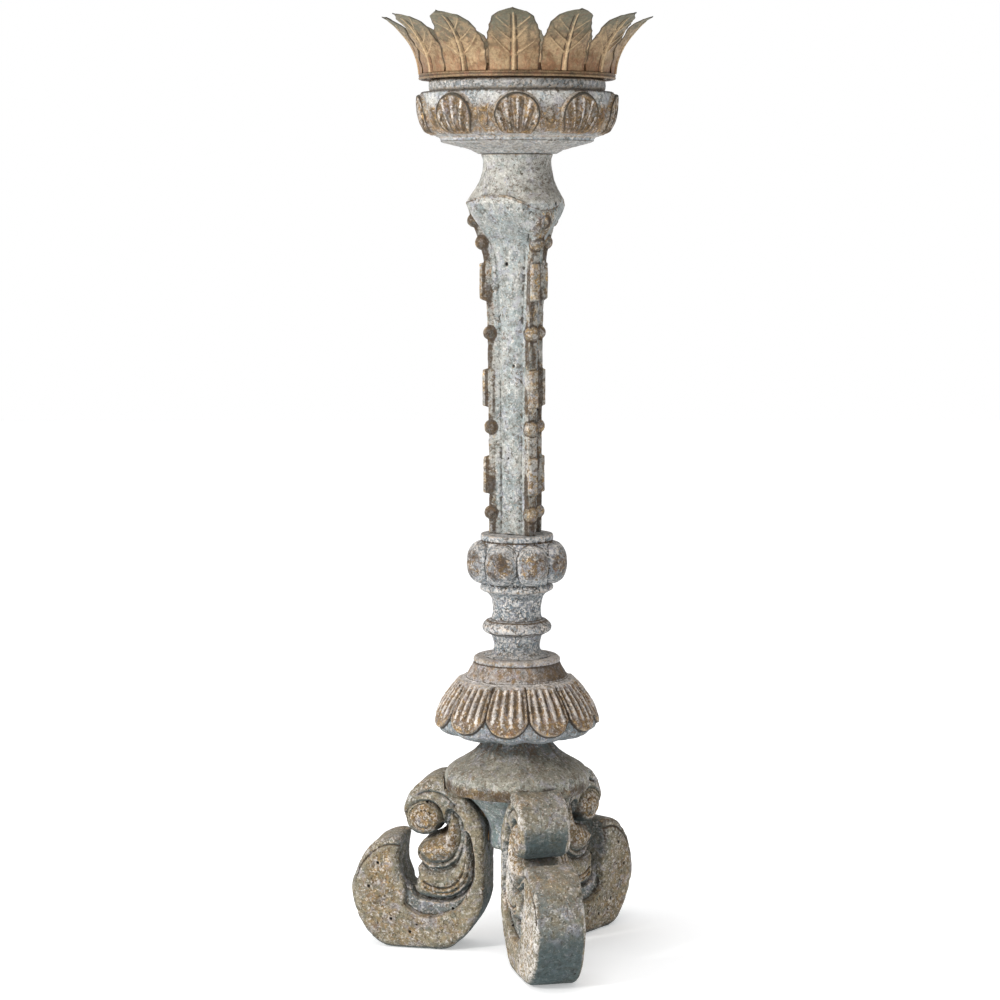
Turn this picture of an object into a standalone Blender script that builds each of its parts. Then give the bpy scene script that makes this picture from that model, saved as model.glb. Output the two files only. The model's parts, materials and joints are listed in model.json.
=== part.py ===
"""Carved altar candlestick: three scroll legs, a turned and carved stem, and a crown of sheet-metal leaves.

The column's axis is the Z axis and the legs stand on z = 0. Azimuths are measured about the column from -Y
towards +X, so a leg at azimuth 0 points along -Y.
"""

import math

import bmesh
import bpy
from mathutils import Matrix, Vector

MM = 0.001
GAP = 0.3  # mm, clearance between pieces that touch
OVERSHOOT = 5.0  # mm, how far a cutter or a joined helper runs past the face it crosses

# Heights in mm of the joints between the pieces of the column
HUB_FOOT = 102.0
HUB_TOP = 160.0
CAP_TOP = 213.0
SKIRT_TOP = 290.0
BALUSTER_TOP = 408.0
SHAFT_TOP = 768.0
CUP_TOP = 825.5
DISC_TOP = 837.0
LEAF_FOOT = 842.2
LEAF_TIP = 899.0

# Round tenons that locate each piece of the column in the one below
TENON_RADIUS = 12.0
TENON_LENGTH = 18.0

# Legs
LEG_AZIMUTHS = {"left": -102.0, "front": 15.0, "rear": 141.5}
LEG_THICKNESS = 50.0
LEG_EDGE_CHAMFER = 2.0
LEG_ROOT = 27.3  # distance of a leg's inner face from the axis
VOLUTE_EYE = (90.0, 135.0)
VOLUTE_EYE_RADIUS = 13.0
VOLUTE_EYE_STANDS_PROUD = 1.5
DOWEL_RADIUS = 5.0
DOWEL_REACH = (14.0, 47.0)
DOWEL_HEIGHTS = {"lower": 111.0, "upper": 134.0}

# Hub
HUB_RADIUS = 29.0
HUB_FLAT = 27.0  # distance from the axis to the flats that the legs bear on
HUB_FLAT_TOP = 118.0
HUB_WASTE = 20.0  # thickness of wood cut away outside the flats

# Shaft: three ribbed corners with hollow panelled faces between them
SHAFT_CORNERS = (-96.0, 34.0, 123.0)
SHAFT_LEVELS = (470.0, 560.0, 640.0, 672.0, 686.0, 698.0, 710.0, 721.0)  # of its sections above the foot
RIB_REACH = ((408.0, 25.6), (500.0, 26.0), (620.0, 27.6), (672.0, 31.0), (695.0, 38.0), (721.0, 48.0))
FACE_OPENING = ((645.0, 0.0), (680.0, 0.12), (700.0, 0.42), (721.0, 1.0))
RIB_HALF_WIDTH = 4.4
RIB_DEPTH = 8.5
GROOVE_DEPTH = 1.6
GROOVE_WIDTH = 4.2
PANEL_RISE = 1.2
COLLAR_RADIUS = 44.5  # of the round collar that the faces open into
BEAD_RADIUS = 6.4
BEAD_HEIGHTS = (706.0, 685.0, 599.5, 510.0, 428.0)
BILLET_HEIGHTS = (648.5, 547.5, 464.5)
BILLET_LENGTH = 36.0
BILLET_WIDTH = 10.4
BILLET_STANDS_PROUD = 4.2
BILLET_DEPTH = 9.4

# Carved relief: number, azimuth of the first, and half sizes (outward, around, up)
LOBES = {"count": 9, "first": 0.0, "centre": (86.5, 805.0), "half": (8.0, 20.5, 17.5), "tilt": -4.0}
BOSSES = {"count": 8, "first": 22.5, "centre": (37.5, 381.0), "half": (11.5, 15.0, 17.5), "tilt": 0.0}
PETALS = {"count": 11, "first": -7.4, "centre": (62.0, 244.5), "half": (7.5, 19.5, 27.5), "tilt": 38.0}

# Metal
PRICKET_TIP = 888.0
PRICKET_FOOT = 790.0
PRICKET_RADIUS = 4.2
SHEET = 0.8
RIM_RADIUS = 90.0
RIM_BEAD = 2.6
LEAF_COUNT = 12
LEAF_FIRST = -2.0
LEAF_FOOT_RADIUS = 90.4
LEAF_TIP_RADIUS = 125.5
LEAF_HALF_WIDTH = 25.0
LEAF_FOOT_HALF_WIDTH = 22.2
LEAF_RIDGE = 1.8

ROUND_STEPS = 22
WIDE_STEPS = 27
CURVE_STEPS = 3

# Base colour, roughness and metallic value of each material
MATERIALS = {
    "leg_paint": ((0.40, 0.36, 0.29), 0.75, 0.0),
    "dowel_beech": ((0.52, 0.38, 0.22), 0.70, 0.0),
    "hub_paint": ((0.25, 0.28, 0.27), 0.80, 0.0),
    "cap_paint": ((0.26, 0.28, 0.27), 0.72, 0.0),
    "petal_gilt": ((0.36, 0.29, 0.22), 0.60, 0.1),
    "baluster_paint": ((0.34, 0.34, 0.33), 0.72, 0.0),
    "shaft_paint": ((0.45, 0.43, 0.40), 0.75, 0.0),
    "cup_gilt": ((0.33, 0.28, 0.22), 0.62, 0.1),
    "disc_paint": ((0.36, 0.34, 0.31), 0.75, 0.0),
    "wrought_iron": ((0.06, 0.055, 0.05), 0.55, 0.9),
    "pan_tole": ((0.16, 0.14, 0.11), 0.50, 0.7),
    "rim_tole": ((0.20, 0.16, 0.10), 0.45, 0.7),
    "leaf_tole": ((0.32, 0.25, 0.16), 0.48, 0.6),
}

parts = None
cutters = None


def clear_scene():
    for obj in list(bpy.data.objects):
        bpy.data.objects.remove(obj)


def new_collection(name, helpers=False):
    collection = bpy.data.collections.new(name)
    collection.hide_render = helpers
    bpy.context.scene.collection.children.link(collection)
    return collection


def material_called(name):
    found = bpy.data.materials.get(name)
    if found:
        return found
    colour, roughness, metallic = MATERIALS[name]
    made = bpy.data.materials.new(name)
    made.use_nodes = True
    shader = made.node_tree.nodes["Principled BSDF"]
    shader.inputs["Base Color"].default_value = (*colour, 1.0)
    shader.inputs["Roughness"].default_value = roughness
    shader.inputs["Metallic"].default_value = metallic
    return made


def part_object(name, mesh, material):
    obj = bpy.data.objects.new(name, mesh)
    parts.objects.link(obj)
    mesh.materials.append(material_called(material))
    return obj


def helper_object(name, mesh):
    obj = bpy.data.objects.new(name, mesh)
    cutters.objects.link(obj)
    obj.hide_render = True
    obj.display_type = "WIRE"
    return obj


def mesh_from(name, shape):
    mesh = bpy.data.meshes.new(name)
    shape.to_mesh(mesh)
    shape.free()
    return mesh


def about_column(azimuth):
    """Turns +X, the outward direction that pieces are drawn in, to an azimuth."""
    return Matrix.Rotation(math.radians(azimuth - 90.0), 4, "Z")


def combine(target, other, operation):
    modifier = target.modifiers.new(f"{operation.lower()}_{other.name}", "BOOLEAN")
    modifier.operation = operation
    modifier.object = other
    modifier.solver = "EXACT"


def outline_through(corners):
    """Points in mm through (radius, height, swell) corners; a swell bows the stretch that ends there."""
    points = [Vector(corners[0][:2])]
    for radius, height, swell in corners[1:]:
        start = points[-1]
        along = Vector((radius, height)) - start
        outward = Vector((-along.y, along.x)).normalized()
        steps = CURVE_STEPS if swell else 1
        for i in range(1, steps + 1):
            t = i / steps
            points.append(start + along * t + outward * (4.0 * swell * t * (1.0 - t)))
    return points


def turned(name, corners, material, closed=False, steps=ROUND_STEPS):
    """A lathe-turned piece. Its corners run down the outer side; a closed outline makes a ring."""
    points = outline_through(corners)
    shape = bmesh.new()
    verts = [shape.verts.new((p.x * MM, 0.0, p.y * MM)) for p in points]
    for a, b in zip(verts, verts[1:]):
        shape.edges.new((a, b))
    if closed:
        shape.edges.new((verts[-1], verts[0]))
    obj = part_object(name, mesh_from(name, shape), material)
    screw = obj.modifiers.new("lathe", "SCREW")
    screw.steps = steps
    screw.render_steps = steps
    screw.use_merge_vertices = True
    screw.merge_threshold = 0.00001
    screw.use_smooth_shade = True
    return obj


def socket_in_top(top):
    """The start of a profile whose top face has a socket for the tenon of the piece above."""
    floor = top - TENON_LENGTH - 2.0 * GAP
    wall = TENON_RADIUS + GAP
    return [(0.0, floor, 0.0), (wall, floor, 0.0), (wall, top - GAP / 2.0, 0.0)]


def tenon_below(foot):
    """The end of a profile that stands on its lower neighbour and has a tenon going down into it."""
    face = foot + GAP / 2.0
    tip = foot - TENON_LENGTH
    return [(TENON_RADIUS, face, 0.0), (TENON_RADIUS, tip, 0.0), (0.0, tip, 0.0)]


def cylinder(name, radius, start, end, segments=12):
    """A helper cylinder along Z between two heights in mm."""
    shape = bmesh.new()
    length = (end - start) * MM
    bmesh.ops.create_cone(
        shape, cap_ends=True, segments=segments, radius1=radius * MM, radius2=radius * MM, depth=length
    )
    bmesh.ops.translate(shape, verts=shape.verts, vec=(0.0, 0.0, start * MM + length / 2.0))
    return mesh_from(name, shape)


def box(name, size, centre):
    shape = bmesh.new()
    bmesh.ops.create_cube(shape, size=1.0)
    bmesh.ops.scale(shape, verts=shape.verts, vec=Vector(size) * MM)
    bmesh.ops.translate(shape, verts=shape.verts, vec=Vector(centre) * MM)
    return mesh_from(name, shape)


def dome_mesh(name, half, around=8, up=6):
    """An ellipsoid with the given half sizes in mm."""
    shape = bmesh.new()
    bmesh.ops.create_uvsphere(shape, u_segments=around, v_segments=up, radius=1.0)
    bmesh.ops.scale(shape, verts=shape.verts, vec=Vector(half) * MM)
    return mesh_from(name, shape)


def carve_relief(target, relief):
    """Joins a ring of domes, all alike, to a turned piece."""
    mesh = dome_mesh(f"{target.name}_relief", relief["half"])
    radius, height = relief["centre"]
    lean = Matrix.Rotation(math.radians(-relief["tilt"]), 4, "Y")
    place = Matrix.Translation((radius * MM, 0.0, height * MM)) @ lean
    for i in range(relief["count"]):
        dome = helper_object(f"{target.name}_relief_{i + 1:02d}", mesh)
        dome.matrix_world = about_column(relief["first"] + 360.0 * i / relief["count"]) @ place
        combine(target, dome, "UNION")


# Column, from the hub up


def make_base_hub():
    """A turned block that flares under the cap, with three flats for the legs."""
    corners = socket_in_top(HUB_TOP) + [
        (52.5, HUB_TOP - GAP / 2.0, 0.0),
        (52.5, 157.5, 0.0),
        (43.6, 149.0, 0.0),
        (34.8, 139.0, 0.0),
        (28.6, 129.0, 0.0),
        (26.4, 119.0, 0.0),
        (HUB_RADIUS, 113.0, 0.0),
        (HUB_RADIUS, HUB_FOOT + 2.0, 0.0),
        (HUB_RADIUS - 2.0, HUB_FOOT, 0.0),
        (0.0, HUB_FOOT, 0.0),
    ]
    hub = turned("base_hub", corners, "hub_paint")
    height = HUB_FLAT_TOP - HUB_FOOT + OVERSHOOT
    centre = (HUB_FLAT + HUB_WASTE / 2.0, 0.0, HUB_FLAT_TOP - height / 2.0)
    waste = box("hub_flat", (HUB_WASTE, 3.0 * HUB_RADIUS, height), centre)
    for side, azimuth in LEG_AZIMUTHS.items():
        flat = helper_object(f"hub_flat_{side}", waste)
        flat.matrix_world = about_column(azimuth)
        combine(hub, flat, "DIFFERENCE")
    return hub


def make_base_cap():
    corners = socket_in_top(CAP_TOP) + [
        (31.0, CAP_TOP - GAP / 2.0, 0.0),
        (36.0, 204.0, -0.8),
        (53.0, 189.5, -2.5),
        (68.6, 177.0, 1.6),
        (69.8, 170.0, 0.4),
        (69.8, 163.5, 0.0),
        (67.5, HUB_TOP + GAP / 2.0, 0.0),
    ]
    return turned("base_cap", corners + tenon_below(HUB_TOP), "cap_paint")


def make_petal_skirt():
    corners = socket_in_top(SKIRT_TOP) + [
        (37.0, SKIRT_TOP - GAP / 2.0, 0.0),
        (48.0, 272.0, -0.8),
        (51.0, 268.5, 0.5),
        (73.0, 236.0, 2.5),
        (74.5, 226.0, 0.8),
        (66.0, 217.0, 0.5),
        (53.0, CAP_TOP + GAP / 2.0, 0.0),
    ]
    skirt = turned("petal_skirt", corners + tenon_below(CAP_TOP), "petal_gilt")
    carve_relief(skirt, PETALS)
    return skirt


def make_baluster():
    corners = socket_in_top(BALUSTER_TOP) + [
        (34.8, BALUSTER_TOP - GAP / 2.0, 0.0),
        (34.8, 402.0, 0.0),
        (35.5, 360.0, 8.0),
        (34.0, 354.0, 1.2),
        (24.5, 347.0, -0.9),
        (24.5, 328.0, -1.4),
        (25.5, 311.5, 7.2),
        (24.5, 293.5, -2.2),
        (33.0, SKIRT_TOP + GAP / 2.0, -0.4),
    ]
    baluster = turned("baluster", corners + tenon_below(SKIRT_TOP), "baluster_paint")
    carve_relief(baluster, BOSSES)
    return baluster


def blend(knots, height):
    """Reads a value that runs smoothly between (height, value) knots."""
    if height <= knots[0][0]:
        return knots[0][1]
    for (low, a), (high, b) in zip(knots, knots[1:]):
        if height <= high:
            t = (height - low) / (high - low)
            return a + (b - a) * t * t * (3.0 - 2.0 * t)
    return knots[-1][1]


def corner_reach(height):
    """Distance of a rib's outer face from the axis: straight below, flaring under the collar."""
    return blend(RIB_REACH, height)


def openness(height):
    """How far the hollow faces have opened into the round collar, from 0 to 1."""
    return blend(FACE_OPENING, height)


def shaft_section(height):
    """The shaft's outline at a height, anticlockwise from above, in mm."""
    reach = corner_reach(height)
    share = openness(height)
    points = []
    for start, end in zip(SHAFT_CORNERS, SHAFT_CORNERS[1:] + (SHAFT_CORNERS[0] + 360.0,)):
        half = math.radians(end - start) / 2.0
        normal = about_column((start + end) / 2.0)
        rib_depth = (reach - RIB_DEPTH) * math.cos(half) + RIB_HALF_WIDTH * math.sin(half)
        rib_width = (reach - RIB_DEPTH) * math.sin(half) - RIB_HALF_WIDTH * math.cos(half)
        edge_depth = reach * math.cos(half) + RIB_HALF_WIDTH * math.sin(half)
        edge_width = reach * math.sin(half) - RIB_HALF_WIDTH * math.cos(half)
        panel = rib_depth + PANEL_RISE + share * (COLLAR_RADIUS - rib_depth - PANEL_RISE)
        groove = panel - (1.0 - share) * (PANEL_RISE + GROOVE_DEPTH)
        side = [
            (edge_depth, edge_width),
            (rib_depth + share * (edge_depth - rib_depth), rib_width),
            (groove, rib_width - 0.3 * GROOVE_WIDTH),
            (panel, rib_width - GROOVE_WIDTH),
        ]
        across = [(d, -w) for d, w in side] + [(d, w) for d, w in reversed(side)]
        points += [normal @ Vector((d, w, 0.0)) for d, w in across]
    return points


def shaft_body():
    """The ribbed body, lofted through its sections."""
    shape = bmesh.new()
    rings = []
    for height in (BALUSTER_TOP + GAP / 2.0,) + SHAFT_LEVELS:
        verts = [shape.verts.new(Vector((p.x, p.y, height)) * MM) for p in shaft_section(height)]
        rings.append([shape.edges.new((a, b)) for a, b in zip(verts, verts[1:] + verts[:1])])
    for lower, upper in zip(rings, rings[1:]):
        bmesh.ops.bridge_loops(shape, edges=lower + upper)
    bmesh.ops.holes_fill(shape, edges=rings[0] + rings[-1], sides=0)
    bmesh.ops.recalc_face_normals(shape, faces=shape.faces)
    return mesh_from("shaft", shape)


def make_shaft():
    shaft = part_object("shaft", shaft_body(), "shaft_paint")
    combine(shaft, collar_helper(), "UNION")
    tip = BALUSTER_TOP - TENON_LENGTH
    tenon = cylinder("shaft_tenon", TENON_RADIUS, tip, BALUSTER_TOP + OVERSHOOT, ROUND_STEPS)
    combine(shaft, helper_object("shaft_tenon", tenon), "UNION")
    add_corner_ornament(shaft)
    floor = SHAFT_TOP - TENON_LENGTH - 2.0 * GAP
    socket = cylinder("shaft_socket", TENON_RADIUS + GAP, floor, SHAFT_TOP + OVERSHOOT, ROUND_STEPS)
    combine(shaft, helper_object("shaft_socket", socket), "DIFFERENCE")
    return shaft


def collar_helper():
    """The turned collar that the shaft's faces run up into."""
    corners = [
        (0.0, SHAFT_TOP - GAP / 2.0, 0.0),
        (34.0, SHAFT_TOP - GAP / 2.0, 0.0),
        (33.5, 751.0, -0.8),
        (46.5, 723.5, -3.2),
        (46.0, 717.0, 0.5),
        (38.0, 709.0, -0.5),
        (0.0, 700.0, 0.0),
    ]
    collar = turned("collar_helper", corners, "shaft_paint")
    parts.objects.unlink(collar)
    cutters.objects.link(collar)
    collar.hide_render = True
    collar.display_type = "WIRE"
    return collar


def add_corner_ornament(shaft):
    """Balls and billets carved on the three ribs."""
    ball = dome_mesh("shaft_ball", (BEAD_RADIUS,) * 3)
    size = (BILLET_DEPTH, BILLET_WIDTH, BILLET_LENGTH)
    billet = box("shaft_billet", size, (BILLET_STANDS_PROUD - BILLET_DEPTH / 2.0, 0.0, 0.0))
    for corner, azimuth in enumerate(SHAFT_CORNERS):
        for row, height in enumerate(BEAD_HEIGHTS):
            bead = helper_object(f"shaft_bead_{corner + 1}_{row + 1}", ball)
            centre = (corner_reach(height) - BEAD_RADIUS / 4.0) * MM
            bead.matrix_world = about_column(azimuth) @ Matrix.Translation((centre, 0.0, height * MM))
            combine(shaft, bead, "UNION")
        for row, height in enumerate(BILLET_HEIGHTS):
            bar = helper_object(f"shaft_billet_{corner + 1}_{row + 1}", billet)
            face = corner_reach(height) * MM
            bar.matrix_world = about_column(azimuth) @ Matrix.Translation((face, 0.0, height * MM))
            combine(shaft, bar, "UNION")


def make_candle_cup():
    bore = PRICKET_RADIUS + GAP
    corners = [
        (0.0, PRICKET_FOOT - GAP, 0.0),
        (bore, PRICKET_FOOT - GAP, 0.0),
        (bore, CUP_TOP - GAP / 2.0, 0.0),
        (90.0, CUP_TOP - GAP / 2.0, 0.0),
        (91.5, 822.0, 0.5),
        (91.5, 797.0, 0.0),
        (77.0, 785.0, 1.5),
        (72.5, 783.0, 0.0),
        (72.5, 779.5, 0.0),
        (46.0, 772.5, -1.0),
        (34.5, SHAFT_TOP + GAP / 2.0, 0.0),
    ]
    cup = turned("candle_cup", corners + tenon_below(SHAFT_TOP), "cup_gilt", steps=WIDE_STEPS)
    carve_relief(cup, LOBES)
    return cup


def make_top_disc():
    bore = PRICKET_RADIUS + GAP
    corners = [
        (bore, DISC_TOP, 0.0),
        (81.5, DISC_TOP, 0.0),
        (83.0, DISC_TOP - 2.0, 0.0),
        (83.0, CUP_TOP + 2.0, 0.0),
        (82.0, CUP_TOP + GAP / 2.0, 0.0),
        (bore, CUP_TOP + GAP / 2.0, 0.0),
    ]
    return turned("top_disc", corners, "disc_paint", closed=True, steps=WIDE_STEPS)


# Legs


def leg_outline():
    """A leg's side view as (distance from the axis, height, kind); 'V' marks a sharp corner."""
    root = [
        (LEG_ROOT, 68.0, "V"),
        (LEG_ROOT, 119.0, "V"),
        (29.8, 129.0, "A"),
        (36.0, 139.0, "A"),
        (44.8, 149.0, "A"),
        (55.5, HUB_TOP - GAP, "V"),
        (71.5, HUB_TOP - GAP, "V"),
    ]
    volute = [
        (77.5, 167.5, "A"),
        (88.0, 170.5, "A"),
        (104.0, 159.0, "A"),
        (110.5, 137.0, "A"),
        (102.0, 117.0, "A"),
    ]
    notch = [(89.0, 110.5, "A"), (76.0, 116.5, "V")]
    upper_frond = [(89.0, 105.5, "A"), (99.0, 97.0, "V"), (85.0, 92.0, "A"), (80.0, 85.0, "V")]
    lower_frond = [(90.0, 82.0, "A"), (98.0, 71.0, "V")]
    scroll = [
        (106.0, 65.0, "A"),
        (111.8, 84.0, "A"),
        (110.6, 102.5, "A"),
        (118.0, 110.8, "A"),
        (139.0, 104.0, "A"),
        (156.0, 81.0, "A"),
        (161.0, 56.0, "A"),
        (153.0, 24.0, "A"),
    ]
    foot = [(129.0, 0.0, "V"), (85.0, 0.0, "V"), (63.0, 4.5, "A"), (40.0, 26.5, "A"), (30.0, 50.0, "A")]
    return root + volute + notch + upper_frond + lower_frond + scroll + foot


def leg_mesh(name):
    """The leg's outline as a filled curve, thickened and turned into one closed mesh."""
    curve = bpy.data.curves.new(name, "CURVE")
    curve.dimensions = "2D"
    curve.fill_mode = "BOTH"
    curve.resolution_u = 3
    curve.extrude = (LEG_THICKNESS / 2.0 - LEG_EDGE_CHAMFER) * MM
    curve.bevel_depth = LEG_EDGE_CHAMFER * MM
    curve.bevel_resolution = 0
    curve.offset = -LEG_EDGE_CHAMFER * MM
    spline = curve.splines.new("BEZIER")
    outline = leg_outline()
    spline.bezier_points.add(len(outline) - 1)
    spline.use_cyclic_u = True
    for point, (reach, height, kind) in zip(spline.bezier_points, outline):
        point.co = (reach * MM, height * MM, 0.0)
        handle = "VECTOR" if kind == "V" else "AUTO"
        point.handle_left_type = handle
        point.handle_right_type = handle
    guide = bpy.data.objects.new(name, curve)
    cutters.objects.link(guide)
    bpy.context.view_layer.update()
    evaluated = guide.evaluated_get(bpy.context.evaluated_depsgraph_get())
    mesh = bpy.data.meshes.new_from_object(evaluated)
    bpy.data.objects.remove(guide)
    shape = bmesh.new()
    shape.from_mesh(mesh)
    bmesh.ops.remove_doubles(shape, verts=shape.verts, dist=0.00002)
    bmesh.ops.recalc_face_normals(shape, faces=shape.faces)
    upright = Matrix.Rotation(math.pi / 2.0, 4, "X")
    bmesh.ops.transform(shape, matrix=upright, verts=shape.verts)
    bpy.data.meshes.remove(mesh)
    return mesh_from(name, shape)


def dowel_place(azimuth, height):
    """Lays a Z cylinder along the outward direction at a height."""
    outward = Matrix.Rotation(math.pi / 2.0, 4, "Y")
    return about_column(azimuth) @ Matrix.Translation((0.0, 0.0, height * MM)) @ outward


def make_legs(hub):
    outline = leg_mesh("leg_outline")
    eye_reach = LEG_THICKNESS / 2.0 + VOLUTE_EYE_STANDS_PROUD
    eye = cylinder("volute_eye", VOLUTE_EYE_RADIUS, -eye_reach, eye_reach, 16)
    hole = cylinder("dowel_hole", DOWEL_RADIUS + GAP, DOWEL_REACH[0] - GAP, DOWEL_REACH[1] + GAP)
    pin = cylinder("leg_dowel", DOWEL_RADIUS, *DOWEL_REACH)
    sideways = Matrix.Rotation(math.pi / 2.0, 4, "X")
    for side, azimuth in LEG_AZIMUTHS.items():
        leg = part_object(f"leg_{side}", outline.copy(), "leg_paint")
        leg.matrix_world = about_column(azimuth)
        boss = helper_object(f"volute_eye_{side}", eye)
        centre = Matrix.Translation((VOLUTE_EYE[0] * MM, 0.0, VOLUTE_EYE[1] * MM))
        boss.matrix_world = about_column(azimuth) @ centre @ sideways
        combine(leg, boss, "UNION")
        for level, height in DOWEL_HEIGHTS.items():
            bore = helper_object(f"dowel_hole_{side}_{level}", hole)
            bore.matrix_world = dowel_place(azimuth, height)
            combine(leg, bore, "DIFFERENCE")
            combine(hub, bore, "DIFFERENCE")
            dowel = part_object(f"leg_{side}_dowel_{level}", pin.copy(), "dowel_beech")
            dowel.matrix_world = dowel_place(azimuth, height)


# Metalwork on top


def make_pricket():
    corners = [
        (0.0, PRICKET_TIP, 0.0),
        (1.0, PRICKET_TIP - 3.0, 0.0),
        (PRICKET_RADIUS, 846.0, 0.3),
        (PRICKET_RADIUS, PRICKET_FOOT, 0.0),
        (0.0, PRICKET_FOOT, 0.0),
    ]
    return turned("pricket", corners, "wrought_iron", steps=12)


def make_drip_pan():
    hole = PRICKET_RADIUS + 1.4
    floor = DISC_TOP + GAP
    corners = [
        (86.9, 843.5, 0.0),
        (86.9, 841.0, 0.0),
        (83.5, floor, 0.5),
        (hole, floor, 0.0),
        (hole, floor + SHEET, 0.0),
        (83.0, floor + SHEET, 0.0),
        (86.1, 841.3, -0.5),
        (86.1, 843.5, 0.0),
    ]
    return turned("drip_pan", corners, "pan_tole", closed=True, steps=WIDE_STEPS)


def make_crown_rim():
    """A wired edge with a low upright strip inside the leaves."""
    middle = DISC_TOP + 2.2
    strip = RIM_RADIUS - 1.4
    corners = [
        (strip, 849.0, 0.0),
        (strip, middle + RIM_BEAD, 0.0),
        (RIM_RADIUS, middle + RIM_BEAD, 0.0),
        (RIM_RADIUS, middle - RIM_BEAD, RIM_BEAD),
        (strip - SHEET, middle - 1.0, 0.6),
        (strip - SHEET, 849.0, 0.0),
    ]
    return turned("crown_rim", corners, "rim_tole", closed=True, steps=WIDE_STEPS)


def leaf_half_width(share):
    """Half the leaf's breadth at a share of its height: near parallel below, closing to a blunt point."""
    widening = math.sin(math.pi * min(share, 0.5))
    lower = LEAF_FOOT_HALF_WIDTH + (LEAF_HALF_WIDTH - LEAF_FOOT_HALF_WIDTH) * widening
    rounding = math.sqrt(max(0.0, 1.0 - (max(share, 0.5) * 2.0 - 1.0) ** 2.6))
    return lower * max(rounding, 0.16)


def leaf_mesh(name):
    shape = bmesh.new()
    bmesh.ops.create_grid(shape, x_segments=4, y_segments=6, size=0.5)
    for vert in shape.verts:
        across = vert.co.x * 2.0
        share = (vert.co.y + 0.5) ** 0.8
        reach = LEAF_FOOT_RADIUS + (LEAF_TIP_RADIUS - LEAF_FOOT_RADIUS) * share**2
        reach += LEAF_RIDGE * (1.0 - abs(across)) * math.sin(math.pi * min(1.0, share + 0.15))
        angle = across * leaf_half_width(share) / reach
        height = LEAF_FOOT + (LEAF_TIP - LEAF_FOOT) * share
        vert.co = Vector((reach * math.cos(angle), reach * math.sin(angle), height)) * MM
    bmesh.ops.recalc_face_normals(shape, faces=shape.faces)
    return mesh_from(name, shape)


def make_leaves():
    mesh = leaf_mesh("crown_leaf")
    mesh.materials.append(material_called("leaf_tole"))
    for i in range(LEAF_COUNT):
        leaf = bpy.data.objects.new(f"crown_leaf_{i + 1:02d}", mesh)
        parts.objects.link(leaf)
        leaf.matrix_world = about_column(LEAF_FIRST + 360.0 * i / LEAF_COUNT)
        skin = leaf.modifiers.new("sheet", "SOLIDIFY")
        skin.thickness = SHEET * MM
        skin.offset = 0.0


def build():
    global parts, cutters
    clear_scene()
    parts = new_collection("altar_candlestick")
    cutters = new_collection("cutters", helpers=True)
    hub = make_base_hub()
    make_legs(hub)
    make_base_cap()
    make_petal_skirt()
    make_baluster()
    make_shaft()
    make_candle_cup()
    make_top_disc()
    make_pricket()
    make_drip_pan()
    make_crown_rim()
    make_leaves()
    bpy.context.view_layer.update()


build()
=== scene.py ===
"""Looks of the altar candlestick.

The pieces are shaped in millimetres, as distance fields or as turned surfaces with carved relief, roughened with
seeded noise and turned into meshes in metres. Azimuths run about the column from -Y towards +X, as in the CAD.
"""

import json
import math

import bpy
import numpy as np
import openvdb as vdb
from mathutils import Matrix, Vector


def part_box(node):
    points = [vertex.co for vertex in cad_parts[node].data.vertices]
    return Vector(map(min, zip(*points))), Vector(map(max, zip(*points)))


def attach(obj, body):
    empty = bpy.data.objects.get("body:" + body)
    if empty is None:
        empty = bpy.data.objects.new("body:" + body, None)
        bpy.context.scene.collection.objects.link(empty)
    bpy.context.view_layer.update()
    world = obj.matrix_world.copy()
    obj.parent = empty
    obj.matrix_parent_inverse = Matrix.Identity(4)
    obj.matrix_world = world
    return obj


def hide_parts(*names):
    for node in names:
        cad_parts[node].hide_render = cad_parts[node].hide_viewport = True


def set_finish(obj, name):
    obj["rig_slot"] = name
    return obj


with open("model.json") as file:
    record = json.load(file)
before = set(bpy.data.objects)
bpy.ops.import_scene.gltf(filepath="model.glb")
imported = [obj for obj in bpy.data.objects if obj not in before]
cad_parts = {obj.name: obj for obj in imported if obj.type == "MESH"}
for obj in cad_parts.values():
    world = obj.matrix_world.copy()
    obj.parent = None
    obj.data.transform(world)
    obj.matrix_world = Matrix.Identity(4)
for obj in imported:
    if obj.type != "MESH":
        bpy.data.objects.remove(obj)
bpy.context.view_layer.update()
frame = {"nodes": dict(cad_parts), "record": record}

MM = 0.001
GAP = 0.3

# ---------------------------------------------------------------- places taken from the CAD


def top_of(node):
    """Height in mm of the joint above a node."""
    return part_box(node)[1].z / MM + GAP / 2.0


def azimuth_of(mount):
    """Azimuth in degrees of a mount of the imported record."""
    found = next(m for m in frame["record"]["mounts"] if m["name"] == mount)
    x, y = found["pos_m"][:2]
    return math.degrees(math.atan2(x, -y))


HUB_TOP = top_of("base_hub")
CAP_TOP = top_of("base_cap")
SKIRT_TOP = top_of("petal_skirt")
BALUSTER_TOP = top_of("baluster")
SHAFT_TOP = top_of("shaft")
CUP_TOP = top_of("candle_cup")
DISC_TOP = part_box("top_disc")[1].z / MM
LEG_AZIMUTHS = {side: azimuth_of(f"foot_pad_{side}") for side in ("left", "front", "rear")}

# ---------------------------------------------------------------- numbers on arrays


def smooth(x, low, high):
    t = np.clip((x - low) / (high - low), 0.0, 1.0)
    return t * t * (3.0 - 2.0 * t)


def soft_min(a, b, width):
    mix = np.clip(0.5 + 0.5 * (b - a) / width, 0.0, 1.0)
    return b * (1.0 - mix) + a * mix - width * mix * (1.0 - mix)


def soft_max(a, b, width):
    return -soft_min(-a, -b, width)


LATTICE = np.random.default_rng(5).uniform(-1.0, 1.0, 8192)


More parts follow.
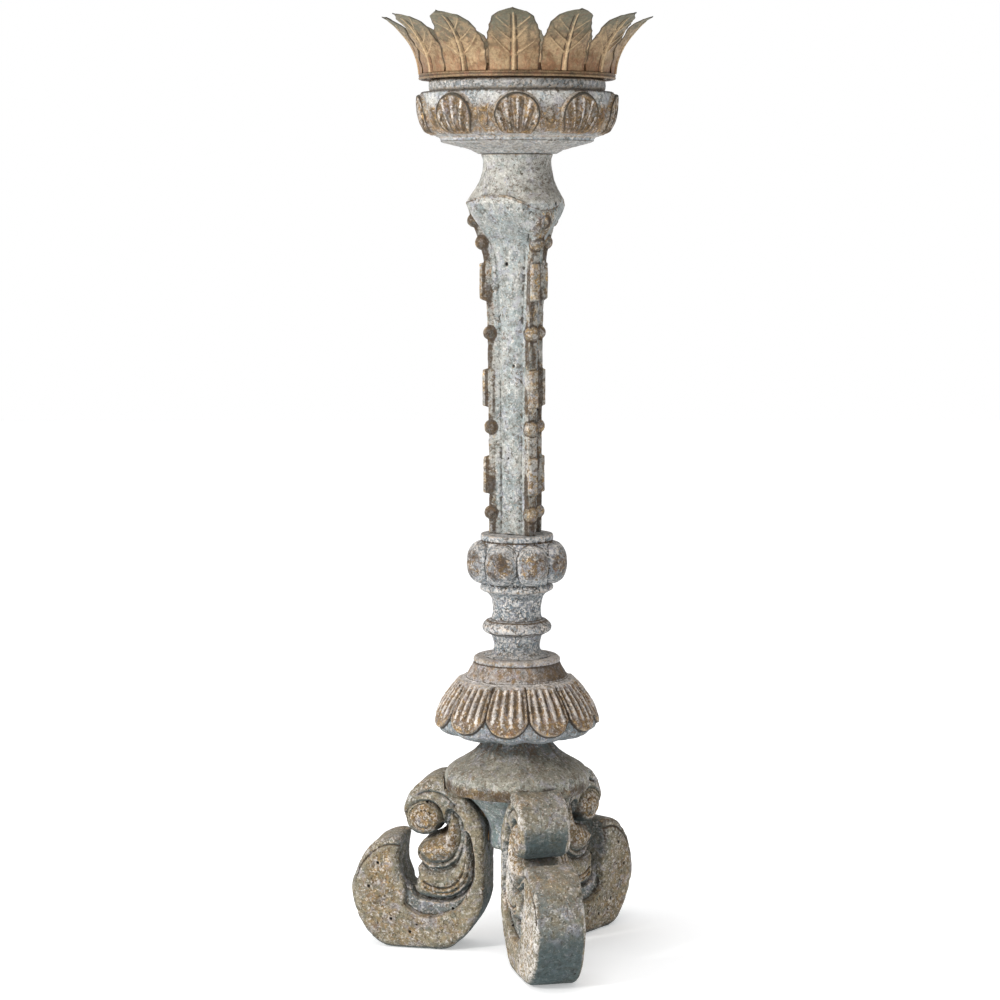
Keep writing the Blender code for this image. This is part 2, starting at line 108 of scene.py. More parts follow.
def noise(points, cell, seed):
    """Smooth noise from -1 to 1 with a cell in mm."""
    scaled = points / cell + seed * 17.31
    floor = np.floor(scaled)
    part = scaled - floor
    part = part * part * (3.0 - 2.0 * part)
    corner = floor.astype(np.int64)
    total = np.zeros(len(points))
    for dx in (0, 1):
        wx = part[:, 0] if dx else 1.0 - part[:, 0]
        for dy in (0, 1):
            wy = part[:, 1] if dy else 1.0 - part[:, 1]
            for dz in (0, 1):
                wz = part[:, 2] if dz else 1.0 - part[:, 2]
                key = (corner[:, 0] + dx) * 73856093 ^ (corner[:, 1] + dy) * 19349663 ^ (corner[:, 2] + dz) * 83492791
                total += LATTICE[key & 8191] * wx * wy * wz
    return total


def fractal(points, cell, octaves, seed):
    total = np.zeros(len(points))
    for i in range(octaves):
        total += noise(points, cell / 2.0**i, seed + i) * 0.5**i
    return total


def direction(azimuth):
    a = math.radians(azimuth)
    return np.array([math.sin(a), -math.cos(a), 0.0])


def spline(corners, step):
    """Points about every step mm on a smooth line through (a, b) corners; a third value of 1 marks a sharp one."""
    runs, run = [], []
    for corner in corners:
        run.append(corner[:2])
        if len(corner) > 2 and len(run) > 1:
            runs.append(run)
            run = [corner[:2]]
    if len(run) > 1:
        runs.append(run)
    points = [np.array(corners[0][:2], float)]
    for run in runs:
        run = np.array(run, float)
        padded = np.vstack([2 * run[0] - run[1], run, 2 * run[-1] - run[-2]])
        for i in range(1, len(padded) - 2):
            a, b, c, d = padded[i - 1 : i + 3]
            count = max(1, int(np.linalg.norm(c - b) / step))
            for t in np.arange(1, count + 1) / count:
                points.append(
                    0.5 * (2 * b + (c - a) * t + (2 * a - 5 * b + 4 * c - d) * t**2 + (3 * b - a - 3 * c + d) * t**3)
                )
    return np.array(points)


def line_distance(u, z, line):
    """Distance of each (u, z) to an open line."""
    best = np.full(u.shape, 1e9)
    for a, b in zip(line[:-1], line[1:]):
        ab = b - a
        t = np.clip(((u - a[0]) * ab[0] + (z - a[1]) * ab[1]) / max(ab @ ab, 1e-9), 0.0, 1.0)
        best = np.minimum(best, (u - a[0] - t * ab[0]) ** 2 + (z - a[1] - t * ab[1]) ** 2)
    return np.sqrt(best)


def outline_distance(u, z, outline):
    """Signed distance to a closed outline, negative inside."""
    closed = np.vstack([outline, outline[:1]])
    inside = np.zeros(u.shape, bool)
    for a, b in zip(closed[:-1], closed[1:]):
        if a[1] != b[1]:
            crosses = (a[1] > z) != (b[1] > z)
            inside ^= crosses & (u < (b[0] - a[0]) * (z - a[1]) / (b[1] - a[1]) + a[0])
    distance = line_distance(u, z, closed)
    return np.where(inside, -distance, distance)


# ---------------------------------------------------------------- meshes


def mesh_from(name, points, quads, triangles=None):
    """A smooth-shaded mesh in metres from points in mm."""
    if triangles is None:
        triangles = np.zeros((0, 3), np.int32)
    mesh = bpy.data.meshes.new(name)
    mesh.vertices.add(len(points))
    mesh.vertices.foreach_set("co", (points * MM).astype(np.float32).ravel())
    corners = np.concatenate([quads.ravel(), triangles.ravel()]).astype(np.int32)
    mesh.loops.add(len(corners))
    mesh.loops.foreach_set("vertex_index", corners)
    sizes = np.concatenate([np.full(len(quads), 4), np.full(len(triangles), 3)])
    mesh.polygons.add(len(sizes))
    mesh.polygons.foreach_set("loop_start", (np.cumsum(sizes) - sizes).astype(np.int32))
    mesh.update(calc_edges=True)
    mesh.validate()
    mesh.shade_smooth()
    return mesh


def store(mesh, **values):
    """Writes what the materials read, one number to a point."""
    for name, array in values.items():
        attribute = mesh.attributes.new(name, "FLOAT", "POINT")
        attribute.data.foreach_set("value", np.asarray(array, np.float32))


def gather(count, index, values):
    return np.stack([np.bincount(index, values[:, i], count) for i in range(values.shape[1])], 1)


def normals_of(points, quads):
    across = np.cross(points[quads[:, 2]] - points[quads[:, 0]], points[quads[:, 3]] - points[quads[:, 1]])
    total = gather(len(points), quads.T.ravel(), np.tile(across, (4, 1)))
    return total / np.maximum(np.linalg.norm(total, axis=1, keepdims=True), 1e-9)


def relaxed(points, quads, rounds):
    """Points moved to their neighbours' mean, round after round."""
    start = np.concatenate([quads[:, i] for i in range(4)] + [quads[:, (i + 1) % 4] for i in range(4)])
    end = np.concatenate([quads[:, (i + 1) % 4] for i in range(4)] + [quads[:, i] for i in range(4)])
    degree = np.maximum(np.bincount(start, minlength=len(points)), 1)[:, None]
    moved = points
    for _ in range(rounds):
        moved = 0.35 * moved + 0.65 * gather(len(points), start, moved[end]) / degree
    return moved


def hollows(points, normals, quads, rounds):
    """How far each point lies in a hollow (positive) or on an edge (negative), in mm."""
    return np.einsum("ij,ij->i", relaxed(points, quads, rounds) - points, normals)


def aged(points, quads, seed, lumps=0.35, flakes=0.45, holes=(), flake_share=0.42):
    """Old gesso: lumps, flaked spots and worm holes. Returns the points and what the materials read, with masks for
    painted shade in recesses and underneath and for painted light on top.
    """
    normals = normals_of(points, quads)
    edges = -hollows(points, normals, quads, 4)
    lump = noise(points, 17.0, seed) * 1.0 + noise(points, 6.0, seed + 1) * 0.6 + noise(points, 2.4, seed + 2) * 0.35
    field = fractal(points, 8.0, 3, seed + 5) + 1.2 * np.clip(edges, 0.0, 0.4)
    flake = smooth(field, flake_share, flake_share + 0.16)
    depth = -flakes * flake + lumps * lump
    hole = np.zeros(len(points))
    for centre, radius in holes:
        reach = np.linalg.norm(points - np.array(centre), axis=1)
        hole = np.maximum(hole, 1.0 - smooth(reach, radius * 0.55, radius * 1.15))
    depth = depth - 2.2 * hole
    moved = points + normals * depth[:, None]
    normals = normals_of(moved, quads)
    values = {
        "hollow": hollows(moved, normals, quads, 4),
        # Deep recesses, read by the materials as painted shade
        "recess": hollows(moved, normals, quads, 40),
        "flake": flake,
        "hole": hole,
        # Downward and upward faces, read as painted shade below and painted light on top
        "under": smooth(-normals[:, 2], 0.05, 0.85),
        "over": smooth(normals[:, 2], 0.15, 0.85),
    }
    return moved, values


def piece(name, mesh, material, slot, body, *nodes):
    obj = bpy.data.objects.new(name, mesh)
    bpy.context.scene.collection.objects.link(obj)
    mesh.materials.append(material)
    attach(obj, body)
    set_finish(obj, slot)
    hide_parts(*nodes)
    return obj


def surface_of(field, low, voxel):
    """Points and quads of the zero surface of a distance field in mm."""
    grid = vdb.FloatGrid(3.0 * voxel)
    grid.copyFromArray(np.clip(field, -3.0 * voxel, 3.0 * voxel).astype(np.float32))
    points, triangles, quads = grid.convertToPolygons(isovalue=0.0, adaptivity=0.0)
    points = np.asarray(points, float) * voxel + np.array(low)
    quads = np.asarray(quads, np.int64)[:, ::-1]
    return points, quads


def oriented(points, quads):
    """Turns the quads over if they face inwards."""
    a, b, c, d = (points[quads[:, i]] for i in range(4))
    volume = np.einsum("ij,ij->i", a, np.cross(b, c)).sum() + np.einsum("ij,ij->i", a, np.cross(c, d)).sum()
    return quads if volume > 0.0 else quads[:, ::-1]


def turned_surface(profile, columns, relief=None, closed=False):
    """A lathe-turned surface in mm. relief(angle in degrees, radius, height) is how far it stands proud."""
    rows = len(profile)
    ahead = np.roll(profile, -1, 0) if closed else np.vstack([profile[1:], 2 * profile[-1] - profile[-2]])
    behind = np.roll(profile, 1, 0) if closed else np.vstack([2 * profile[0] - profile[1], profile[:-1]])
    along = ahead - behind
    out = np.stack([-along[:, 1], along[:, 0]], 1)
    out /= np.maximum(np.linalg.norm(out, axis=1, keepdims=True), 1e-9)
    angles = np.arange(columns) * 360.0 / columns
    angle, radius = np.meshgrid(angles, profile[:, 0])
    height = np.repeat(profile[:, 1:], columns, 1)
    proud = np.zeros_like(angle) if relief is None else relief(angle, radius, height)
    radius = radius + out[:, :1] * proud
    height = height + out[:, 1:] * proud
    turn = np.radians(angle)
    points = np.stack([radius * np.sin(turn), -radius * np.cos(turn), height], 2).reshape(-1, 3)
    index = np.arange(rows * columns).reshape(rows, columns)
    below = np.roll(index, -1, 0) if closed else index[1:]
    above = index if closed else index[:-1]
    quads = np.stack([above, below, np.roll(below, -1, 1), np.roll(above, -1, 1)], 2).reshape(-1, 4)
    return points, oriented(points, quads)


def offset_from(angle, first, count):
    """Degrees from the nearest of count equally spaced azimuths, and its number."""
    pitch = 360.0 / count
    share = (angle - first) / pitch
    nearest = np.round(share)
    return (share - nearest) * pitch, nearest.astype(int) % count


# ---------------------------------------------------------------- materials


def linear(colour):
    """An sRGB colour of 0 to 255 as linear RGBA."""
    values = [c / 255.0 for c in colour]
    return (*[v / 12.92 if v <= 0.04045 else ((v + 0.055) / 1.055) ** 2.4 for v in values], 1.0)


class Nodes:
    """Short calls for the shader nodes that the materials use."""

    def __init__(self, name):
        self.material = bpy.data.materials.new(name)
        self.material.use_nodes = True
        self.tree = self.material.node_tree
        self.shader = self.tree.nodes["Principled BSDF"]
        self.place = self.tree.nodes.new("ShaderNodeTexCoord").outputs["Object"]

    def put(self, target, value):
        if isinstance(value, bpy.types.NodeSocket):
            self.tree.links.new(value, target)
        elif isinstance(value, tuple) and len(value) == 3 and target.type == "RGBA":
            target.default_value = linear(value)
        else:
            target.default_value = value

    def noise(self, cell, detail=3.0, roughness=0.55, distortion=0.0, shift=0.0, stretch=None):
        """Noise of 0 to 1 with a cell in mm."""
        place = self.place
        if shift or stretch:
            mapping = self.tree.nodes.new("ShaderNodeMapping")
            self.put(mapping.inputs["Vector"], place)
            mapping.inputs["Location"].default_value = (shift, shift * 0.7, shift * 0.4)
            mapping.inputs["Scale"].default_value = stretch or (1.0, 1.0, 1.0)
            place = mapping.outputs["Vector"]
        node = self.tree.nodes.new("ShaderNodeTexNoise")
        self.put(node.inputs["Vector"], place)
        node.inputs["Scale"].default_value = 1.0 / (cell * MM)
        node.inputs["Detail"].default_value = detail
        node.inputs["Roughness"].default_value = roughness
        node.inputs["Distortion"].default_value = distortion
        return node.outputs["Fac"]

    def cells(self, cell, feature="F1"):
        node = self.tree.nodes.new("ShaderNodeTexVoronoi")
        node.feature = feature
        self.put(node.inputs["Vector"], self.place)
        node.inputs["Scale"].default_value = 1.0 / (cell * MM)
        return node.outputs["Distance"]

    def attribute(self, name):
        node = self.tree.nodes.new("ShaderNodeAttribute")
        node.attribute_name = name
        return node.outputs["Fac"]

    def math(self, operation, a, b=0.0, clamp=False):
        node = self.tree.nodes.new("ShaderNodeMath")
        node.operation = operation
        node.use_clamp = clamp
        self.put(node.inputs[0], a)
        self.put(node.inputs[1], b)
        return node.outputs[0]

    def total(self, *parts):
        """Sum of (value, weight) pairs."""
        result = 0.0
        for value, weight in parts:
            result = self.math("ADD", self.math("MULTIPLY", value, weight), result)
        return result

    def band(self, value, low, high):
        """0 below low, 1 above high."""
        node = self.tree.nodes.new("ShaderNodeMapRange")
        node.interpolation_type = "SMOOTHSTEP"
        self.put(node.inputs["Value"], value)
        node.inputs["From Min"].default_value = low
        node.inputs["From Max"].default_value = high
        return node.outputs["Result"]

    def mix(self, share, a, b, blend="MIX"):
        node = self.tree.nodes.new("ShaderNodeMix")
        node.data_type = "RGBA"
        node.blend_type = blend
        self.put(node.inputs["Factor"], share)
        self.put(node.inputs["A"] if False else node.inputs[6], a)
        self.put(node.inputs[7], b)
        return node.outputs[2]

    def bump(self, height, depth, normal=None):
        """Bump of a height of 0 to 1 over a depth in mm."""
        node = self.tree.nodes.new("ShaderNodeBump")
        node.inputs["Strength"].default_value = 1.0
        node.inputs["Distance"].default_value = depth * MM
        self.put(node.inputs["Height"], height)
        if normal is not None:
            self.put(node.inputs["Normal"], normal)
        return node.outputs["Normal"]

    def finish(self, colour, roughness, metallic, normal, specular=0.35):
        self.put(self.shader.inputs["Base Color"], colour)
        self.put(self.shader.inputs["Roughness"], roughness)
        self.put(self.shader.inputs["Metallic"], metallic)
        self.put(self.shader.inputs["Normal"], normal)
        self.shader.inputs["Specular IOR Level"].default_value = specular
        return self.material


TINTS = ((11.0, (170, 168, 182), 0.0, 0.45), (8.0, (88, 100, 94), 0.0, 0.5), (5.5, (136, 96, 66), 0.12, 0.5))


def distressed(name, light, cool, tan, gold, seed=0.0, warm=0.0, cool_share=0.5, dirt=0.0, shade=0.25, crease=1.0):
    """Worn gesso with rubbed gilding: pale ground, blue-grey wash, tan and gold flecks, bole, dirt, darker creases and
    worm holes, with painted shade in recesses and underneath, painted light on top and white flecks that are partly
    painted highlights.
    """
    n = Nodes(name)
    hollow, recess = n.attribute("hollow"), n.attribute("recess")
    flake, hole, under, over = (n.attribute(a) for a in ("flake", "hole", "under", "over"))
    gilt, chill, stain, chalk = (n.attribute(a) for a in ("gilt", "chill", "stain", "chalk"))
    patch = n.noise(42.0, 3.0, 0.55, 0.6, seed + 0.13)
    mottle = n.noise(14.0, 4.0, 0.62, 0.9, seed + 0.37)
    other = n.noise(6.4, 3.0, 0.6, 0.9, seed + 2.3)
    speck = n.noise(3.1, 2.0, 0.6, 0.6, seed + 0.71)
    grit = n.noise(1.9, 2.0, 0.6, 0.3, seed + 1.9)
    wash = n.total((patch, 0.5), (mottle, 0.8), (other, 0.5), (chill, 0.32))
    colour = n.mix(n.band(wash, 1.00 - 0.36 * cool_share, 1.40 - 0.36 * cool_share), light, cool)
    # Upward faces lean warm: painted light from above
    warmth = n.total((mottle, 0.5), (other, 0.8), (patch, 0.3), (gilt, 0.36), (over, 0.1), (chill, -0.16))
    warm_mask = n.band(warmth, 0.88 - warm, 1.24 - warm)
    colour = n.mix(n.math("MULTIPLY", warm_mask, 0.9), colour, tan)
    for i, (cell, tint, on_gilt, strength) in enumerate(TINTS):
        spread = n.total((n.noise(cell, 4.0, 0.62, 0.5, seed + 6.3 + 1.7 * i), 1.0), (gilt, on_gilt))
        tinted = n.band(spread, 0.50 + 0.9 * on_gilt, 0.66 + 0.9 * on_gilt)
        colour = n.mix(n.math("MULTIPLY", tinted, strength), colour, tint)
    ochre = n.band(n.total((speck, 0.8), (other, 0.5), (gilt, 0.17), (warm_mask, 0.06)), 0.80, 0.94)
    colour = n.mix(n.math("MULTIPLY", ochre, 0.6), colour, (156, 126, 80))
    gold_mask = n.band(n.total((grit, 0.6), (other, 0.7), (gilt, 0.14), (hollow, -0.2)), 0.86, 0.94)
    colour = n.mix(n.math("MULTIPLY", gold_mask, 0.85), colour, gold)
    bole = n.band(n.total((n.noise(8.0, 4.0, 0.65, 0.8, seed + 4.1), 1.0), (gilt, 0.08)), 0.68, 0.78)
    colour = n.mix(n.math("MULTIPLY", bole, 0.55), colour, (138, 74, 52))
    depth = n.total((speck, 1.0), (mottle, 0.5), (grit, 0.5), (stain, 0.1), (gilt, 0.07))
    brown = n.band(depth, 1.04 - dirt, 1.22 - dirt)
    colour = n.mix(n.math("MULTIPLY", brown, 0.75), colour, (66, 54, 40))
    # White flecks lifted towards white: partly gesso showing through, partly painted highlights, most on ridges and lit
    # faces
    glint = n.band(n.total((grit, 0.7), (n.noise(4.2, 3.0, 0.65, 0.8, seed + 8.8), 0.9), (hollow, -0.5), (chalk, 0.2)), 0.84, 1.0)
    lifted = n.mix(n.math("MULTIPLY", n.math("ADD", chalk, 0.3), 0.7), n.mix(0.75, colour, (170, 166, 160), "SCREEN"), (226, 222, 218))
    colour = n.mix(n.math("MULTIPLY", glint, 0.75), colour, lifted)
    colour = n.mix(n.math("MULTIPLY", n.band(n.total((hollow, 3.2 * crease), (speck, 0.6)), 0.52, 0.98), 0.85), colour, (50, 43, 34))
    edge = n.band(n.total((hollow, -3.0), (speck, 0.7), (mottle, 0.3)), 0.80, 1.25)
    colour = n.mix(n.math("MULTIPLY", edge, 0.45), colour, (140, 112, 72))
    # Painted shade: deep recesses darkened to grey-green, in place of occlusion
    gloom = n.band(n.total((recess, 0.35), (other, 0.3)), 0.40, 1.25)
    colour = n.mix(n.math("MULTIPLY", gloom, 0.55), colour, (70, 74, 70))
    # Dark blots: real stains, and painted shade where the pieces darken shaded places
    blot = n.band(n.total((stain, 0.9), (speck, 0.5)), 0.45, 1.05)
    colour = n.mix(n.math("MULTIPLY", blot, 0.82), colour, (62, 48, 34))
    # Painted light: upward faces tinted light tan, as if lit from above
    colour = n.mix(n.math("MULTIPLY", over, 0.22), colour, (140, 118, 92))
    # Painted shade: downward faces darkened to blue-grey, by the shade strength
    colour = n.mix(n.math("MULTIPLY", under, shade), colour, (58, 72, 74))
    value = n.total((mottle, 1.2), (other, 1.7), (speck, 1.4), (grit, 0.8))
    colour = n.mix(1.0, colour, n.math("ADD", value, -1.55), "MULTIPLY")
    pinholes = n.band(n.total((n.cells(33.0), -1.0)), -0.042, -0.03)
    dark = n.math("MAXIMUM", hole, n.math("MULTIPLY", pinholes, 0.9))
    colour = n.mix(dark, colour, (22, 18, 14))
    relief = n.total((speck, 0.5), (grit, 0.35), (other, 0.6), (pinholes, -1.0), (glint, 0.12))
    normal = n.bump(relief, 1.1)
    rough = n.total((gold_mask, -0.2), (speck, 0.15), (flake, 0.08))
    return n.finish(colour, n.math("ADD", rough, 0.68), n.math("MULTIPLY", gold_mask, 0.2), normal, 0.3)


def tole(name, bright, brown, green, seed=0.0, darkness=0.4):
    """Old painted and gilded sheet metal: bronze wash, rust red at the foot, green-grey tips, dark edges."""
    n = Nodes(name)
    edge, ridge, lift = n.attribute("edge"), n.attribute("ridge"), n.attribute("lift")
    patch = n.noise(19.0, 3.0, 0.55, 0.6, seed + 0.2)
    mottle = n.noise(4.5, 4.0, 0.65, 0.4, seed + 0.5)
    speck = n.noise(1.3, 2.0, 0.6, 0.0, seed + 0.9)
    streak = n.noise(6.0, 3.0, 0.6, 0.3, seed + 3.1, (1.0, 1.0, 0.25))
    colour = n.mix(n.band(n.total((patch, 0.8), (mottle, 0.6)), 0.55, 0.85), bright, brown)
    patina = n.band(n.total((lift, 0.62), (patch, 0.5), (mottle, 0.4)), 0.68, 1.02)
    colour = n.mix(n.math("MULTIPLY", patina, 0.85), colour, green)
    rust = n.band(n.total((lift, -0.5), (streak, 0.8), (mottle, 0.4)), 0.42, 0.66)
    colour = n.mix(n.math("MULTIPLY", rust, 0.4), colour, (150, 92, 58))
    grime = n.band(n.total((speck, 0.45), (mottle, 0.5), (streak, 0.3)), 0.62, 0.78)
    colour = n.mix(n.math("MULTIPLY", grime, darkness), colour, (66, 56, 42))
    crest = n.band(n.total((ridge, 0.9), (speck, 0.35)), 0.55, 0.95)
    colour = n.mix(n.math("MULTIPLY", crest, 0.6), colour, (200, 174, 136))
    groove = n.band(n.total((ridge, -1.0), (speck, 0.3)), 0.35, 0.75)
    colour = n.mix(n.math("MULTIPLY", groove, 0.85), colour, (52, 40, 28))
    colour = n.mix(n.math("MULTIPLY", edge, 0.8), colour, (52, 46, 34))
    tint = n.band(n.noise(3.0, 3.0, 0.6, 0.3, seed + 5.5), 0.5, 0.72)
    colour = n.mix(n.math("MULTIPLY", tint, 0.3), colour, (150, 104, 84))
    value = n.total((n.noise(2.2, 3.0, 0.65, 0.2, seed + 7.7), 1.2), (speck, 0.9), (mottle, 0.9))
    colour = n.mix(1.0, colour, n.math("ADD", value, -0.5), "MULTIPLY")
    normal = n.bump(n.total((mottle, 0.6), (speck, 0.3), (streak, 0.4)), 0.5)
    rough = n.math("ADD", n.total((mottle, 0.25), (patina, 0.1)), 0.36)
    return n.finish(colour, rough, 0.35, normal, 0.5)


# Colours: pale, cool, tan and gold; then seed, warmth, share of cool, dirt, strength of the painted shade underneath
# and crease
LEG_PAINT = distressed("leg_paint", (148, 138, 114), (108, 114, 112), (134, 112, 76), (190, 156, 88), 0.0, 0.08, 0.5, 0.05, 0.85)
HUB_PAINT = distressed("hub_paint", (160, 168, 164), (112, 128, 128), (132, 122, 96), (160, 134, 84), 1.0, -0.1, 0.6, 0.02)
# The cap's cool colour is dark, as it also paints the shade at the neck
CAP_PAINT = distressed("cap_paint", (168, 166, 152), (80, 96, 102), (134, 114, 80), (174, 142, 82), 2.0, 0.0, 0.4, 0.06)
SKIRT_PAINT = distressed("petal_gilt", (194, 188, 184), (128, 138, 144), (132, 102, 66), (192, 152, 74), 3.0, 0.06, 0.45, 0.08)
BALUSTER_PAINT = distressed("baluster_paint", (188, 190, 192), (112, 124, 132), (122, 98, 70), (180, 146, 82), 4.0, -0.04, 0.55, 0.1)
SHAFT_PAINT = distressed("shaft_paint", (194, 192, 184), (146, 154, 154), (142, 124, 96), (186, 152, 86), 5.0, -0.02, 0.48, 0.04)
CUP_PAINT = distressed("cup_gilt", (206, 202, 194), (140, 152, 158), (142, 112, 72), (198, 158, 82), 6.0, 0.02, 0.5, 0.07, 0.0, 0.6)
DISC_PAINT = distressed("disc_paint", (194, 192, 188), (126, 136, 140), (138, 122, 98), (168, 138, 88), 7.0, -0.04, 0.55, 0.08)
LEAF_TOLE = tole("leaf_tole", (166, 142, 108), (122, 96, 66), (100, 104, 90), 0.0, 0.55)
RIM_TOLE = tole("rim_tole", (104, 84, 56), (66, 52, 34), (62, 58, 46), 1.0, 0.7)
PAN_TOLE = tole("pan_tole", (112, 98, 76), (80, 66, 48), (76, 76, 66), 2.0, 0.6)
IRON = tole("wrought_iron", (84, 76, 68), (54, 46, 40), (70, 66, 60), 3.0, 0.6)


def dowel_wood():
    """Plain beech: fine grain drawn out along the height, with short dark flecks."""
    n = Nodes("dowel_beech")
    grain = n.noise(1.4, 3.0, 0.6, 0.2, 0.4, (1.0, 1.0, 0.12))
    fleck = n.noise(0.8, 2.0, 0.6, 0.0, 0.8, (1.0, 1.0, 0.3))
    colour = n.mix(n.band(grain, 0.4, 0.6), (190, 152, 108), (158, 116, 74))
    colour = n.mix(n.math("MULTIPLY", n.band(fleck, 0.6, 0.7), 0.5), colour, (110, 74, 44))
    return n.finish(colour, n.math("ADD", n.math("MULTIPLY", grain, 0.2), 0.5), 0.0, n.bump(grain, 0.2))


# ---------------------------------------------------------------- legs

LEG_HALF = 25.0
# Painted light per leg: pale patches on the faces of the front leg, which the key light falls on
BLEACHED = {"left": 0.0, "front": 0.5, "rear": 0.0}
# Painted shade per leg, laid in blotches: the rear leg darkest
SOILED = {"left": 0.06, "front": 0.0, "rear": 0.3}
LEG_VOXEL = 0.85
LEG_OUTLINE = [
    (27.3, 62.0, 1), (27.3, 104.0), (27.8, 120.0), (30.4, 130.0), (36.4, 140.0), (45.2, 149.6), (55.8, 159.0, 1),
    (62.0, 159.7, 1), (64.0, 171.0, 1), (77.5, 171.6), (89.6, 166.5),
    (100.5, 156.0), (106.6, 144.0), (108.0, 137.0), (106.0, 128.5), (101.7, 119.0), (93.0, 113.2), (84.0, 112.8),
    (77.0, 115.8), (70.5, 120.0, 1), (75.0, 114.6), (81.0, 111.4), (88.0, 108.4), (93.5, 102.0), (96.0, 97.5, 1),
    (94.2, 91.0), (89.0, 85.2, 1), (92.5, 83.8), (94.6, 80.0), (94.2, 72.3), (96.0, 66.4), (95.6, 61.5, 1),
    (101.5, 60.2), (106.0, 65.0), (109.0, 71.5), (111.8, 80.0), (112.4, 92.0), (110.6, 102.5), (110.0, 108.0),
    (114.0, 111.0), (124.8, 110.0), (137.0, 104.0), (146.6, 93.6), (154.0, 81.0), (159.6, 64.0), (160.2, 52.0),
    (157.6, 40.0), (153.5, 28.5), (146.5, 17.0), (138.0, 7.8), (129.6, 2.4), (121.0, 0.0, 1), (76.0, 0.0, 1),
    (66.0, 1.2), (58.0, 5.0), (46.0, 16.0), (36.5, 29.5), (30.5, 42.0), (27.6, 54.0),
]
EYE = (86.8, 129.6)
EYE_RADIUS = 15.2
UPPER_FROND = [
    (60.5, 136.0), (53.9, 128.0), (52.4, 113.8), (54.5, 101.9), (60.5, 91.0), (70.2, 85.6), (79.9, 86.0),
    (88.0, 91.0), (95.7, 98.0), (89.6, 104.0), (79.9, 109.4), (71.5, 114.0), (65.4, 120.5), (62.0, 128.0),
]
LOWER_FROND = [
    (89.0, 84.6), (95.5, 80.6), (95.0, 72.3), (96.8, 66.4), (95.7, 59.3), (92.0, 54.6), (84.0, 52.3), (70.2, 51.5),
    (58.1, 54.5), (48.5, 61.0), (42.0, 73.0), (40.5, 88.0), (42.4, 103.0), (46.5, 114.0), (49.0, 104.0),
    (51.0, 94.0), (56.0, 85.0), (63.4, 79.4), (75.5, 77.2), (84.0, 79.0),
]
FIELD = [
    (108.2, 68.0), (107.0, 54.5), (107.4, 45.0), (99.3, 36.7), (88.4, 32.6), (76.3, 32.8), (64.2, 36.7),
    (52.0, 43.8), (44.8, 54.5), (40.6, 68.0), (46.0, 64.0), (58.1, 55.0), (70.2, 51.5), (84.8, 52.1),
    (92.6, 55.0), (96.6, 60.0), (101.0, 62.0),
]
BAND_LINE = [(44.6, 54.5), (40.2, 70.0), (38.6, 90.0), (40.6, 104.0), (45.5, 119.0), (51.5, 134.0), (58.5, 147.0),
             (69.0, 154.6), (82.0, 157.0), (92.0, 153.6)]
TOE_LINE = [(111.5, 101.5), (120.0, 102.6), (131.0, 99.4), (143.0, 90.0), (151.0, 79.0), (155.4, 67.0)]
GILT_LINES = [
    [(85.5, 62.0), (78.0, 58.6), (68.0, 57.0), (57.0, 59.6), (49.0, 66.0), (44.0, 76.0), (42.4, 88.0)],
    [(86.5, 67.5), (79.0, 63.6), (69.0, 62.0), (59.5, 64.4), (52.0, 71.5), (47.6, 81.0), (45.8, 92.0)],
]
LEG_HOLES = [(142.2, 60.4), (120.0, 29.0), (59.0, 41.0), (101.0, 17.0), (84.0, 146.5), (133.0, 84.0), (95.0, 88.0)]


